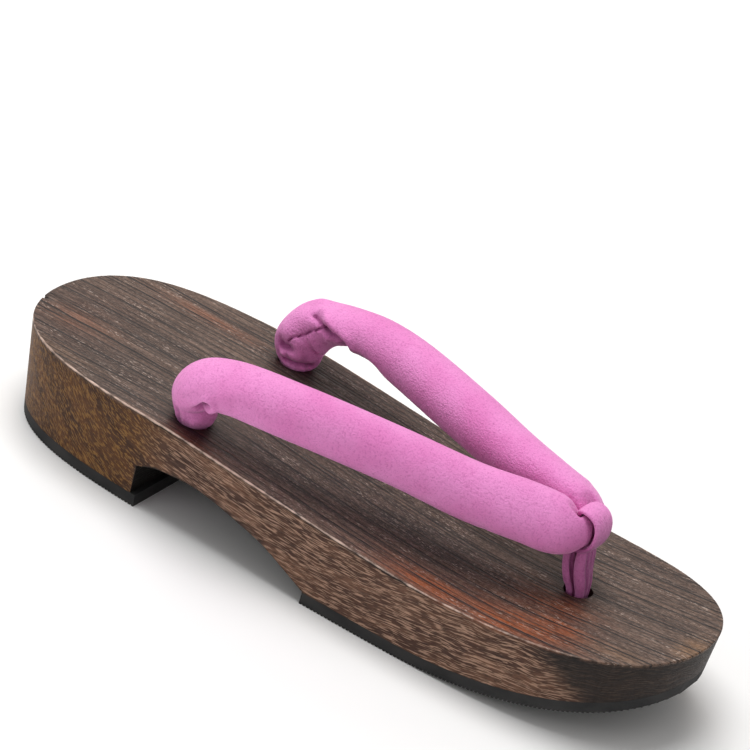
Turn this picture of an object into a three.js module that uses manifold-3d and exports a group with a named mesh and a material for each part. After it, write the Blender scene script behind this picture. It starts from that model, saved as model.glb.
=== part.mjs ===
// A geta sandal: a carved wooden board on two rubber treads, held to the foot by a padded
// cloth strap in a V and a short toe loop.
//
// Millimetres. +X points to the toe, +Y to the sandal's left side and +Z up. The origin is on
// the ground, under the middle of the board. The sandal is the same left and right, so it
// fits either foot.

import * as THREE from 'three';
import { mergeVertices } from 'three/addons/utils/BufferGeometryUtils.js';
import Module from 'manifold-3d';

const wasm = await Module();
wasm.setup();

// ---------------------------------------------------------------- driving dimensions

const LENGTH = 240;         // the board at its top face, heel to toe
const WIDTH = 82.4;         // the board at its widest
const TOE_ROUND = 20.9;     // length over which the outline fills out behind the toe
const HEEL_ROUND = 19.5;    // the same at the heel, a little blunter
const OUTLINE_STEPS = 44;   // points along one side of the outline

const LEAN_HEIGHT = 31;     // the walls lean inwards below this height
const TOE_LEAN = 0.0008;    // share of the length lost for each millimetre below it, at the toe
const HEEL_LEAN = 0.00124;  // the same at the heel
const SIDE_LEAN = 0.0004;   // share of the width lost for each millimetre

const TREAD = 3.7;          // thickness of both rubber treads
const GAP = 0.3;            // clearance between two pieces that touch
const HEEL_FRONT = -56.1;   // front face of the heel block
const TREAD_BACK = 8.5;     // back edge of the front tread
const ROCKER_START = 39.3;  // the sole leaves the ground here and springs up to the toe
const ROCKER_RISE = 15.5;   // how far the sole is off the ground under the toe's tip

const REAR_HOLE = { x: -47.6, y: 28.6, radius: 5.7 };
const FRONT_HOLE = { x: 75.8, y: 0, radius: 4.6 };

// The foot bed, from heel to toe: level under the heel, lowest under the ball of the foot.
const FOOT_BED = [
  { x: -122, z: 30.6 },
  { x: -100, z: 31.0 },
  { x: -72, z: 31.1 },
  { x: -47, z: 30.9 },
  { x: -27, z: 29.6 },
  { x: 0, z: 27.6 },
  { x: 24, z: 25.8 },
  { x: 45, z: 24.9 },
  { x: 64, z: 25.3 },
  { x: 85, z: 26.8 },
  { x: 103, z: 28.7 },
  { x: 122, z: 31.0 },
];

// The underside of the arch, from the heel block to the front tread.
const ARCH = [
  { x: HEEL_FRONT, z: 13.7 },
  { x: -50, z: 16.1 },
  { x: -43, z: 17.1 },
  { x: -36, z: 17.4 },
  { x: -28, z: 16.5 },
  { x: -18, z: 14.3 },
  { x: -9, z: 11.9 },
  { x: 1, z: 7.6 },
  { x: TREAD_BACK, z: TREAD + GAP },
];

// One arm of the strap, from the end in its hole to the front, where both arms are one: the
// middle of each section, its half width and half depth, and the angle in degrees by which
// its outer edge drops, because the strap lies on a rounded instep.
const STRAP = [
  { x: -47.6, y: 28.6, z: 18.0, wide: 4.7, deep: 4.7, drop: 0 },
  { x: -47.6, y: 28.6, z: 31.6, wide: 5.2, deep: 5.2, drop: 0 },
  { x: -47.9, y: 28.6, z: 34.4, wide: 7.2, deep: 6.8, drop: 6 },
  { x: -49.2, y: 28.9, z: 38.8, wide: 8.5, deep: 6.9, drop: 15 },
  { x: -46.6, y: 31.1, z: 44.4, wide: 9.4, deep: 7.3, drop: 22 },
  { x: -37.6, y: 31.9, z: 49.0, wide: 10.0, deep: 7.0, drop: 14 },
  { x: -15.0, y: 28.6, z: 50.4, wide: 9.6, deep: 8.0, drop: 19 },
  { x: 16.0, y: 20.4, z: 49.0, wide: 9.8, deep: 8.2, drop: 26 },
  { x: 40.0, y: 14.1, z: 47.1, wide: 10.1, deep: 7.8, drop: 41 },
  { x: 56.5, y: 10.0, z: 47.4, wide: 10.0, deep: 6.8, drop: 47 },
  { x: 67.4, y: 6.2, z: 46.9, wide: 8.9, deep: 6.6, drop: 52 },
  { x: 72.4, y: 0.0, z: 46.9, wide: 5.7, deep: 4.7, drop: 62 },
];
const STRAP_STEPS = 54;
const STRAP_SIDES = 18;

// The toe loop: a band around the strap's front, and two runs down to one hole.
const LOOP = { x: 72.2, z: 46.9, wide: 6.4, high: 7.2, across: 9.6, wall: 1.9 };
const LOOP_SQUARE = 2.3;    // 2 is an ellipse, and more is squarer
const LOOP_SIDES = 36;
const LOOP_ROUND = 1.1;     // rounding of the band's edges
const FRONT_RUN = [
  { x: 75.4, y: 0, z: 41.0, wide: 3.1, deep: 1.9 },
  { x: 76.6, y: 0, z: 37.0, wide: 3.2, deep: 2.2 },
  { x: 77.0, y: 0, z: 31.0, wide: 3.1, deep: 2.1 },
  { x: 77.2, y: 0, z: 26.6, wide: 2.6, deep: 1.8 },
  { x: 77.0, y: 0, z: 17.0, wide: 2.2, deep: 1.6 },
];
const REAR_RUN = [
  { x: 69.8, y: 0, z: 41.0, wide: 3.1, deep: 1.8 },
  { x: 71.3, y: 0, z: 37.0, wide: 3.2, deep: 1.9 },
  { x: 72.8, y: 0, z: 31.0, wide: 3.1, deep: 1.8 },
  { x: 74.2, y: 0, z: 26.6, wide: 2.6, deep: 1.6 },
  { x: 74.6, y: 0, z: 17.0, wide: 2.2, deep: 1.5 },
];
const RUN_STEPS = 16;
const RUN_SIDES = 12;

const PROFILE_STEPS = 44;   // points along the foot bed, and along the rocker
const ARCH_STEPS = 20;
const HOLE_SIDES = 28;
const OVERSHOOT = 2;        // how far a cutting shape runs past the face it cuts

// ---------------------------------------------------------------- solids and meshes

function toSolid(geometry) {
  const bare = geometry.clone();
  bare.deleteAttribute('normal');
  bare.deleteAttribute('uv');
  const merged = mergeVertices(bare, 1e-4);
  return new wasm.Manifold(new wasm.Mesh({
    numProp: 3,
    vertProperties: new Float32Array(merged.attributes.position.array),
    triVerts: new Uint32Array(merged.index.array),
  }));
}

function toGeometry(solid) {
  const { vertProperties, triVerts } = solid.getMesh();
  const geometry = new THREE.BufferGeometry();
  geometry.setAttribute('position', new THREE.BufferAttribute(vertProperties, 3));
  geometry.setIndex(new THREE.BufferAttribute(triVerts, 1));
  geometry.computeVertexNormals();
  return geometry;
}

// ---------------------------------------------------------------- outline and side profile

/** Half the width of the board's top face, at a distance from its middle towards the toe. */
function halfWidth(x) {
  const fromToe = Math.max(0, LENGTH / 2 - x);
  const fromHeel = Math.max(0, LENGTH / 2 + x);
  const toe = 1 - Math.exp(-fromToe / TOE_ROUND);
  const heel = 1 - Math.exp(-fromHeel / HEEL_ROUND);
  return WIDTH / 2 * Math.sqrt(toe * heel);
}

/** The outline, closer together towards the two ends, where it turns fastest. */
function outlineShape() {
  const side = [];
  for (let i = 0; i <= OUTLINE_STEPS; i += 1) {
    const x = -LENGTH / 2 * Math.cos(Math.PI * i / OUTLINE_STEPS);
    side.push(new THREE.Vector2(x, halfWidth(x)));
  }
  const other = side.slice(1, -1).reverse().map((point) => new THREE.Vector2(point.x, -point.y));
  return new THREE.Shape([...side.reverse(), ...other.reverse()]);
}

/** A tall block of the outline, with walls that lean inwards towards the ground. */
function outlineSolid() {
  const height = LEAN_HEIGHT + 2 * OVERSHOOT;
  const geometry = new THREE.ExtrudeGeometry(outlineShape(), { depth: height, bevelEnabled: false });
  geometry.translate(0, 0, -OVERSHOOT);
  const point = geometry.attributes.position;
  for (let i = 0; i < point.count; i += 1) {
    const drop = LEAN_HEIGHT - point.getZ(i);
    const lean = point.getX(i) > 0 ? TOE_LEAN : HEEL_LEAN;
    point.setX(i, point.getX(i) * (1 - lean * drop));
    point.setY(i, point.getY(i) * (1 - SIDE_LEAN * drop));
  }
  return toSolid(geometry);
}

/** Points on a smooth curve through the rows of a table. */
function smoothThrough(rows, steps) {
  const curve = new THREE.SplineCurve(rows.map((row) => new THREE.Vector2(row.x, row.z)));
  return curve.getPoints(steps);
}

/** Height of the sole above the ground, level and then rising to the toe. */
function soleHeight(x) {
  const along = Math.max(0, x - ROCKER_START) / (LENGTH / 2 - ROCKER_START);
  return ROCKER_RISE * along ** 2;
}

/** The sole's line from the back edge of the front tread to just past the toe, lifted by a height. */
function rockerLine(lift) {
  const from = TREAD_BACK;
  const to = LENGTH / 2 + OVERSHOOT;
  const line = [];
  for (let i = 0; i <= PROFILE_STEPS; i += 1) {
    const x = from + (to - from) * i / PROFILE_STEPS;
    line.push(new THREE.Vector2(x, soleHeight(x) + lift));
  }
  return line;
}

/** A side profile in X and Z, as wide as the board and a little more. */
function profileSolid(points) {
  const depth = WIDTH + 2 * OVERSHOOT;
  const geometry = new THREE.ExtrudeGeometry(new THREE.Shape(points), { depth, bevelEnabled: false });
  geometry.rotateX(Math.PI / 2);
  geometry.translate(0, depth / 2, 0);
  return toSolid(geometry);
}

// ---------------------------------------------------------------- lofts for the cloth pieces

/** Place, half sizes and drop along a table of sections, at a share from 0 to 1 of its rows. */
function sectionAt(rows, share) {
  const places = new THREE.CatmullRomCurve3(
    rows.map((row) => new THREE.Vector3(row.x, row.y, row.z)),
    false,
    'centripetal',
  );
  const sizes = new THREE.SplineCurve(rows.map((row) => new THREE.Vector2(row.wide, row.deep)));
  const drops = new THREE.SplineCurve(rows.map((row, i) => new THREE.Vector2(i, row.drop ?? 0)));
  return {
    place: places.getPoint(share),
    ahead: places.getTangent(share),
    size: sizes.getPoint(share),
    drop: THREE.MathUtils.degToRad(drops.getPoint(share).y),
  };
}

/** A closed tube of oval sections along a table, with flat ends. The width lies along `across`. */
function tubeSolid(rows, steps, sides, across) {
  const positions = [];
  const triangles = [];
  for (let i = 0; i <= steps; i += 1) {
    const { place, ahead, size, drop } = sectionAt(rows, i / steps);
    const level = new THREE.Vector3().crossVectors(ahead, across(ahead)).normalize();
    const side = new THREE.Vector3().crossVectors(level, ahead).normalize();
    side.applyAxisAngle(ahead, -drop);
    const up = new THREE.Vector3().crossVectors(ahead, side);
    for (let k = 0; k < sides; k += 1) {
      const angle = 2 * Math.PI * k / sides;
      const point = place.clone();
      point.addScaledVector(side, size.x * Math.cos(angle));
      point.addScaledVector(up, size.y * Math.sin(angle));
      positions.push(point.x, point.y, point.z);
    }
  }
  for (let i = 0; i < steps; i += 1) {
    for (let k = 0; k < sides; k += 1) {
      const a = i * sides + k;
      const b = i * sides + (k + 1) % sides;
      triangles.push(a, b, a + sides, b, b + sides, a + sides);
    }
  }
  const last = steps * sides;
  for (let k = 1; k < sides - 1; k += 1) {
    triangles.push(0, k + 1, k);
    triangles.push(last, last + k, last + k + 1);
  }
  const geometry = new THREE.BufferGeometry();
  geometry.setAttribute('position', new THREE.Float32BufferAttribute(positions, 3));
  geometry.setIndex(triangles);
  return toSolid(geometry);
}

// ---------------------------------------------------------------- the wooden board

function roundHole(hole) {
  const height = LEAN_HEIGHT * 2;
  const geometry = new THREE.CylinderGeometry(hole.radius, hole.radius, height, HOLE_SIDES);
  geometry.rotateX(Math.PI / 2);
  geometry.translate(hole.x, hole.y, height / 2 - OVERSHOOT);
  return toSolid(geometry);
}

/** The board: heel block, arch, sprung forefoot and hollowed foot bed, with three strap holes. */
function boardSolid() {
  const heelBack = -LENGTH / 2 - OVERSHOOT;
  const under = [
    new THREE.Vector2(heelBack, TREAD + GAP),
    new THREE.Vector2(HEEL_FRONT, TREAD + GAP),
    ...smoothThrough(ARCH, ARCH_STEPS).slice(0, -1),
    ...rockerLine(TREAD + GAP),
  ];
  const over = smoothThrough(FOOT_BED, PROFILE_STEPS).reverse();
  const whole = profileSolid([...under, ...over]).intersect(outlineSolid());
  const leftHole = roundHole(REAR_HOLE);
  const rightHole = roundHole({ ...REAR_HOLE, y: -REAR_HOLE.y });
  return whole.subtract(leftHole).subtract(rightHole).subtract(roundHole(FRONT_HOLE));
}

// ---------------------------------------------------------------- the rubber treads

/** The front tread follows the sole's line from the arch to the toe. */
function frontTreadSolid() {
  const profile = [...rockerLine(0), ...rockerLine(TREAD).reverse()];
  return profileSolid(profile).intersect(outlineSolid());
}

/** The heel tread is level, and ends flush with the front face of the heel block. */
function heelTreadSolid() {
  const heelBack = -LENGTH / 2 - OVERSHOOT;
  const profile = [
    new THREE.Vector2(heelBack, 0),
    new THREE.Vector2(HEEL_FRONT, 0),
    new THREE.Vector2(HEEL_FRONT, TREAD),
    new THREE.Vector2(heelBack, TREAD),
  ];
  return profileSolid(profile).intersect(outlineSolid());
}

// ---------------------------------------------------------------- the toe loop

/** The band's outline seen from the side, grown by a distance. */
function bandShape(grow) {
  const points = [];
  for (let k = 0; k < LOOP_SIDES; k += 1) {
    const angle = 2 * Math.PI * k / LOOP_SIDES;
    const c = Math.cos(angle);
    const s = Math.sin(angle);
    const x = (LOOP.wide + grow) * Math.sign(c) * Math.abs(c) ** (2 / LOOP_SQUARE);
    const z = (LOOP.high + grow) * Math.sign(s) * Math.abs(s) ** (2 / LOOP_SQUARE);
    points.push(new THREE.Vector2(LOOP.x + x, LOOP.z + z));
  }
  return new THREE.Shape(points);
}

/** A slab of the band's outline, across the sandal, with its edges rounded or square. */
function bandSlab(grow, across, round) {
  const settings = { depth: across - 2 * round, bevelEnabled: round > 0 };
  if (round > 0) {
    Object.assign(settings, { bevelThickness: round, bevelSize: round, bevelOffset: -round, bevelSegments: 2 });
  }
  const geometry = new THREE.ExtrudeGeometry(bandShape(grow), settings);
  geometry.rotateX(Math.PI / 2);
  geometry.translate(0, across / 2 - round, 0);
  return toSolid(geometry);
}

function alongY() {
  return new THREE.Vector3(0, 1, 0);
}

/** A table of sections, each a little larger all round. */
function grown(rows, by) {
  return rows.map((row) => ({ ...row, wide: row.wide + by, deep: row.deep + by }));
}

/** The band around the strap's front, with its two runs down into the front hole. */
function toeLoopSolid() {
  const eye = bandSlab(-LOOP.wall, LOOP.across + 2 * OVERSHOOT, 0);
  const band = bandSlab(0, LOOP.across, LOOP_ROUND);
  const front = tubeSolid(FRONT_RUN, RUN_STEPS, RUN_SIDES, alongY);
  const rear = tubeSolid(REAR_RUN, RUN_STEPS, RUN_SIDES, alongY);
  return band.add(front).add(rear).subtract(eye);
}

// ---------------------------------------------------------------- the strap

/** Level and square to the way ahead, or across the sandal where the strap stands upright. */
function levelAcross(ahead) {
  const level = new THREE.Vector3(-ahead.y, ahead.x, 0);
  const upright = Math.abs(ahead.z) ** 4;
  const outward = new THREE.Vector3(0, 1, 0);
  return level.multiplyScalar(1 - upright).addScaledVector(outward, upright).normalize();
}

/** Both padded arms in one piece, with room left for the toe loop around its front. */
function strapSolid() {
  const mirrored = STRAP.map((row) => ({ ...row, y: -row.y, drop: -row.drop }));
  const left = tubeSolid(STRAP, STRAP_STEPS, STRAP_SIDES, levelAcross);
  const right = tubeSolid(mirrored, STRAP_STEPS, STRAP_SIDES, levelAcross);
  const room = bandSlab(GAP, LOOP.across + 2 * GAP, 0);
  const core = bandSlab(-LOOP.wall - GAP, LOOP.across + 2 * OVERSHOOT, 0);
  const roomForRun = tubeSolid(grown(REAR_RUN, GAP), RUN_STEPS, RUN_SIDES, alongY);
  return left.add(right).subtract(room.subtract(core)).subtract(roomForRun);
}

// ---------------------------------------------------------------- the sandal

const WOOD = { color: '#5a4336', roughness: 0.5, metalness: 0 };
const RUBBER = { color: '#2b2b2b', roughness: 0.9, metalness: 0 };
const CLOTH = { color: '#d977c0', roughness: 0.85, metalness: 0 };

function piece(name, solid, look) {
  const mesh = new THREE.Mesh(toGeometry(solid), new THREE.MeshStandardMaterial(look));
  mesh.name = name;
  return mesh;
}

const geta = new THREE.Group();
geta.add(piece('board', boardSolid(), WOOD));
geta.add(piece('front_tread', frontTreadSolid(), RUBBER));
geta.add(piece('heel_tread', heelTreadSolid(), RUBBER));
geta.add(piece('strap', strapSolid(), CLOTH));
geta.add(piece('toe_loop', toeLoopSolid(), CLOTH));

export default geta;
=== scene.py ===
# %% [markdown]
# # A geta sandal
#
# A geta is a wooden sandal. This one has a carved paulownia board on two rubber treads, and a
# padded cloth strap that starts in two holes beside the heel and meets a toe loop in front.
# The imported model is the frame: it fixes every size, and the pieces made here stand in its
# place, with the finish that the real ones have. Lengths are written in millimetres and
# multiplied by MM, because Blender counts in metres.

# %% Load the frame
import math

import bmesh
import bpy
import numpy as np
from mathutils import Matrix, Vector, noise


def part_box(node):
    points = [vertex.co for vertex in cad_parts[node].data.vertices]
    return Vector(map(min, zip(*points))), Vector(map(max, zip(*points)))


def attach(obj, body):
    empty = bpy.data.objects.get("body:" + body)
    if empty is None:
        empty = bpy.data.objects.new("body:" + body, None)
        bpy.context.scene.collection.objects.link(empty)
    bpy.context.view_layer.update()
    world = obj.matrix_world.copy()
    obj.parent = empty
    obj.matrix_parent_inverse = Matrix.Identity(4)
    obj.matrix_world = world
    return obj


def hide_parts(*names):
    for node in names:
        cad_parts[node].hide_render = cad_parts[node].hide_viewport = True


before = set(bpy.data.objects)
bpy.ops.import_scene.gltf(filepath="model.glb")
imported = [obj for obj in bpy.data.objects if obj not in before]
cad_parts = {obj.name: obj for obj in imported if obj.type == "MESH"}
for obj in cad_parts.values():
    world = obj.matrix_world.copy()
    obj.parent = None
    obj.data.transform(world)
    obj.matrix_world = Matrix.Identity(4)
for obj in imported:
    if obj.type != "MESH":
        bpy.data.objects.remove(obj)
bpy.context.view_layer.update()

MM = 0.001
SEED = 7

# %% [markdown]
# ## The camera
#
# The shoe is seen from the near side of its toe, from a little above, with the camera rolled so
# that the shoe runs down to the right. A long lens from 1.4 m keeps its two sides nearly
# parallel. The camera is placed first, because everything after it is judged through it.

# %% Place the camera
CAMERA_AZIMUTH = math.radians(24.78)
CAMERA_ELEVATION = math.radians(28.78)
CAMERA_ROLL = math.radians(16.13)
CAMERA_DISTANCE = 1374.8 * MM
LENS = 217.9
AIM = Vector((0, 0, 14.25 * MM))
AIM_RIGHT = 4.7 * MM
AIM_UP = 39.7 * MM


def place_camera():
    back = Vector((
        math.sin(CAMERA_AZIMUTH) * math.cos(CAMERA_ELEVATION),
        -math.cos(CAMERA_AZIMUTH) * math.cos(CAMERA_ELEVATION),
        math.sin(CAMERA_ELEVATION),
    ))
    level = Vector((math.cos(CAMERA_AZIMUTH), math.sin(CAMERA_AZIMUTH), 0))
    turned = Matrix.Rotation(CAMERA_ROLL, 3, back)
    right = turned @ level
    up = turned @ back.cross(level)
    camera = bpy.data.objects.new("camera", bpy.data.cameras.new("camera"))
    camera.data.lens = LENS
    camera.data.sensor_width = 36
    place = AIM + back * CAMERA_DISTANCE + right * AIM_RIGHT + up * AIM_UP
    axes = Matrix((right, up, back)).transposed()
    camera.matrix_world = Matrix.Translation(place) @ axes.to_4x4()
    bpy.context.scene.collection.objects.link(camera)
    bpy.context.scene.camera = camera
    return camera


print("camera at", [round(v, 3) for v in place_camera().location])

# %% [markdown]
# ## Helpers for materials
#
# Colours are written as the sRGB hex values that a designer would use, and one function turns
# them to linear. Another adds one node with its settings, values and links, so that each
# material below reads as a list of its layers.

# %% Colour and node helpers
SRGB_KNEE = 0.04045


def linear(hex_colour):
    """An sRGB hex colour such as "c7a79a" as linear RGBA."""
    parts = [int(hex_colour[i:i + 2], 16) / 255 for i in (0, 2, 4)]
    flat = [c / 12.92 if c <= SRGB_KNEE else ((c + 0.055) / 1.055) ** 2.4 for c in parts]
    return (*flat, 1.0)


def add(tree, kind, inputs=None, **settings):
    """Adds a node. An input that is a socket becomes a link, and any other sets the value."""
    node = tree.nodes.new(kind)
    for name, value in settings.items():
        setattr(node, name, value)
    for name, value in (inputs or {}).items():
        socket = node.inputs[name]
        if isinstance(value, bpy.types.NodeSocket):
            tree.links.new(value, socket)
        else:
            socket.default_value = value
    return node


def mix(tree, factor, first, second, blend="MIX"):
    """The colour mix of two colours or sockets."""
    node = add(tree, "ShaderNodeMix", {0: factor, 6: first, 7: second}, data_type="RGBA", blend_type=blend)
    return node.outputs[2]


def mix_value(tree, factor, first, second):
    return add(tree, "ShaderNodeMix", {0: factor, 2: first, 3: second}, data_type="FLOAT").outputs[0]


def spread(tree, value, low, high, to_low=0.0, to_high=1.0):
    """A value's range from low to high, spread over a new range and clamped to it."""
    names = {"Value": value, "From Min": low, "From Max": high, "To Min": to_low, "To Max": to_high}
    return add(tree, "ShaderNodeMapRange", names, interpolation_type="SMOOTHSTEP").outputs[0]


def maths(tree, operation, first, second=0.0):
    return add(tree, "ShaderNodeMath", {0: first, 1: second}, operation=operation).outputs[0]


def stretched(tree, place, along, across, upright):
    """Object coordinates in units of three real sizes in mm, so a noise of scale 1 has those."""
    scale = (1 / (along * MM), 1 / (across * MM), 1 / (upright * MM))
    return add(tree, "ShaderNodeMapping", {"Vector": place, "Scale": scale}).outputs[0]


def grain_noise(tree, place, size, detail=2.0, roughness=0.5):
    """Noise with features of about size = (along, across, upright) in mm."""
    vector = stretched(tree, place, *size)
    names = {"Vector": vector, "Scale": 1.0, "Detail": detail, "Roughness": roughness}
    return add(tree, "ShaderNodeTexNoise", names, noise_dimensions="3D").outputs[0]


def new_material(name, shader_values):
    material = bpy.data.materials.new(name)
    material.use_nodes = True
    tree = material.node_tree
    shader = tree.nodes["Principled BSDF"]
    for socket, value in shader_values.items():
        shader.inputs[socket].default_value = value
    return material, tree, shader


def painted(tree, name):
    """The value of a mesh attribute, painted on the points below."""
    return add(tree, "ShaderNodeAttribute", attribute_name=name).outputs["Fac"]


# %% [markdown]
# ## The stage
#
# A plain pale floor and soft studio light: a wide soft box overhead, one behind that puts a
# sheen on the lacquered board, and a weak fill from the front. The world gives the rest.

# %% Floor and light
def studio_floor():
    """Painted board: pale, matt and even."""
    material, tree, shader = new_material("studio_floor", {"Roughness": 0.9, "Specular IOR Level": 0.2})
    place = add(tree, "ShaderNodeTexCoord").outputs["Object"]
    mottle = grain_noise(tree, place, (90, 90, 90))
    tree.links.new(mix(tree, mottle, linear("f4f4f4"), linear("f8f8f8")), shader.inputs["Base Color"])
    return material


def soft_box(name, watts, side, place, towards, tint="ffffff"):
    light = bpy.data.lights.new(name, "AREA")
    light.energy = watts
    light.size = side
    light.color = linear(tint)[:3]
    lamp = bpy.data.objects.new(name, light)
    lamp.location = place
    lamp.rotation_euler = (Vector(towards) - Vector(place)).to_track_quat("-Z", "Y").to_euler()
    bpy.context.scene.collection.objects.link(lamp)
    return lamp


def build_stage():
    half = 3.0
    mesh = bpy.data.meshes.new("floor")
    corners = [(-half, -half, 0), (half, -half, 0), (half, half, 0), (-half, half, 0)]
    mesh.from_pydata(corners, [], [(0, 1, 2, 3)])
    mesh.materials.append(studio_floor())
    floor = bpy.data.objects.new("floor", mesh)
    bpy.context.scene.collection.objects.link(floor)
    soft_box("top_box", 11.0, 0.8, (-0.3, 0.1, 1.1), (0, 0, 0))
    soft_box("back_box", 3.4, 0.8, (-0.65, 1.0, 0.75), (0, 0, 0.02), "fff1e6")
    soft_box("front_fill", 1.9, 0.9, (-0.5, -1.2, 0.6), (0, 0, 0.02))
    world = bpy.data.worlds.new("studio")
    world.use_nodes = True
    world.node_tree.nodes["Background"].inputs["Color"].default_value = linear("f6f4f2")
    world.node_tree.nodes["Background"].inputs["Strength"].default_value = 0.44
    bpy.context.scene.world = world
    bpy.context.scene.view_settings.view_transform = "Standard"


build_stage()

# %% [markdown]
# ## Sizes shared by the board and the treads
#
# The outline of the board is one formula: it fills out quickly behind the toe and the heel and
# runs nearly straight between them. Seen from the side, the foot bed and the sole are smooth
# curves through a few heights. Board and treads are both cut from these, so they stay flush.

# %% Outline and side profile
BOARD_LOW, BOARD_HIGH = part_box("board")
LENGTH = 240.0
WIDTH = 82.4
TOE_ROUND = 20.9
HEEL_ROUND = 19.5
LEAN_HEIGHT = 31.0
TOE_LEAN = 0.0008
HEEL_LEAN = 0.00124
SIDE_LEAN = 0.0004
TREAD_TOP = 3.95
HEEL_FRONT = -56.1
TREAD_BACK = 8.5
ROCKER_START = 39.3
ROCKER_RISE = 15.5

FOOT_BED = [
    {"x": -122, "z": 30.6},
    {"x": -100, "z": 31.0},
    {"x": -72, "z": 31.1},
    {"x": -47, "z": 30.9},
    {"x": -27, "z": 29.6},
    {"x": 0, "z": 27.6},
    {"x": 24, "z": 25.8},
    {"x": 45, "z": 24.9},
    {"x": 64, "z": 25.3},
    {"x": 85, "z": 26.8},
    {"x": 103, "z": 28.7},
    {"x": 122, "z": 31.0},
]
ARCH = [
    {"x": HEEL_FRONT, "z": 13.7},
    {"x": -50, "z": 16.1},
    {"x": -43, "z": 17.1},
    {"x": -36, "z": 17.4},
    {"x": -28, "z": 16.5},
    {"x": -18, "z": 14.3},
    {"x": -9, "z": 11.9},
    {"x": 1, "z": 7.6},
    {"x": TREAD_BACK, "z": 4.0},
]


def smooth_rows(rows, count, space=2):
    """A table's rows as an array of count rows on a smooth curve, evenly spaced along it.

    The first `space` columns are the place, and the other columns go along with it."""
    knots = np.array([list(row.values()) for row in rows], float)
    chord = np.linalg.norm(np.diff(knots[:, :space], axis=0), axis=1)
    at = np.concatenate([[0], np.cumsum(np.sqrt(chord))])
    slope = np.gradient(knots, at, axis=0)
    fine = np.linspace(0, at[-1], 40 * len(rows))
    i = np.clip(np.searchsorted(at, fine, side="right") - 1, 0, len(rows) - 2)
    step = (at[i + 1] - at[i])[:, None]
    t = ((fine - at[i])[:, None]) / step
    curve = (
        (2 * t**3 - 3 * t**2 + 1) * knots[i] + (t**3 - 2 * t**2 + t) * step * slope[i]
        + (3 * t**2 - 2 * t**3) * knots[i + 1] + (t**3 - t**2) * step * slope[i + 1]
    )
    gone = np.concatenate([[0], np.cumsum(np.linalg.norm(np.diff(curve[:, :space], axis=0), axis=1))])
    even = np.linspace(0, gone[-1], count)
    return np.stack([np.interp(even, gone, column) for column in curve.T], axis=1)


def half_width(x):
    toe = 1 - np.exp(-np.maximum(0, LENGTH / 2 - x) / TOE_ROUND)
    heel = 1 - np.exp(-np.maximum(0, LENGTH / 2 + x) / HEEL_ROUND)
    return WIDTH / 2 * np.sqrt(toe * heel)


BED_LINE = smooth_rows(FOOT_BED, 400)


def bed_height(x):
    return np.interp(x, BED_LINE[:, 0], BED_LINE[:, 1])


def sole_height(x):
    along = np.maximum(0, x - ROCKER_START) / (LENGTH / 2 - ROCKER_START)
    return ROCKER_RISE * along**2


def leaned(x, y, z):
    """A point of the upright outline, moved in as the walls lean inwards below the top."""
    drop = LEAN_HEIGHT - z
    lean = np.where(x > 0, TOE_LEAN, HEEL_LEAN)
    return np.stack([x * (1 - lean * drop), y * (1 - SIDE_LEAN * drop), z], axis=-1) * MM


print("board length and width in mm:", [round((BOARD_HIGH[i] - BOARD_LOW[i]) / MM, 1) for i in (0, 1)])


# %% Mesh helpers
def mesh_object(name, points, faces):
    """A mesh piece at the origin, with doubles merged and faces pointing out."""
    mesh = bpy.data.meshes.new(name)
    mesh.from_pydata([tuple(p) for p in points], [], faces)
    tidy = bmesh.new()
    tidy.from_mesh(mesh)
    bmesh.ops.remove_doubles(tidy, verts=tidy.verts, dist=0.004 * MM)
    bmesh.ops.dissolve_degenerate(tidy, edges=tidy.edges, dist=0.001 * MM)
    bmesh.ops.recalc_face_normals(tidy, faces=tidy.faces)
    tidy.to_mesh(mesh)
    tidy.free()
    piece = bpy.data.objects.new(name, mesh)
    bpy.context.scene.collection.objects.link(piece)
    return piece


def grid_faces(rows, columns, closed=False):
    """Quads of a grid of points, row by row. A closed grid joins its last column to its first."""
    faces = []
    for i in range(rows - 1):
        for k in range(columns if closed else columns - 1):
            after = (k + 1) % columns
            here, next_row = i * columns, (i + 1) * columns
            faces.append((here + k, here + after, next_row + after, next_row + k))
    return faces


def baked(piece):
    """Applies a piece's modifiers, so that it is a plain mesh."""
    evaluated = piece.evaluated_get(bpy.context.evaluated_depsgraph_get())
    mesh = bpy.data.meshes.new_from_object(evaluated)
    piece.modifiers.clear()
    piece.data = mesh
    mesh.name = piece.name
    return piece


def carve(piece, cutter):
    """Cuts a closed mesh out of a piece, and removes the cutter."""
    cut = piece.modifiers.new("carve", "BOOLEAN")
    cut.operation = "DIFFERENCE"
    cut.solver = "EXACT"
    cut.object = cutter
    baked(piece)
    bpy.data.objects.remove(cutter)


def points_of(mesh):
    flat = np.zeros(len(mesh.vertices) * 3)
    mesh.vertices.foreach_get("co", flat)
    return flat.reshape(-1, 3) / MM


def paint(mesh, name, values):
    """Stores one value a point under a name that a material can read."""
    layer = mesh.attributes.new(name, "FLOAT", "POINT")
    layer.data.foreach_set("value", np.asarray(values, np.float32))


def smooth_shaded(mesh, sharp_degrees=None):
    mesh.shade_smooth()
    if sharp_degrees is not None:
        mesh.set_sharp_from_angle(angle=math.radians(sharp_degrees))


# %% [markdown]
# ## The board
#
# The board is sawn from one piece of paulownia, scorched, brushed and lacquered. It is made as
# a maker works: first a blank with the outline, the hollowed foot bed and the sprung sole, then
# the arch is cut out across it, and three holes are drilled for the strap. The blank is a loft
# of rings that follow the outline. The rings crowd together at the rim, which is rounded over
# by hand, so the roundness wanders a little.

# %% Board blank
STATIONS = 180
ACROSS = 60
WALL_ROWS = 26
RIM_ROWS = 5
RIM_RADIUS = 0.45
RIM_WANDER = 0.22


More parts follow.
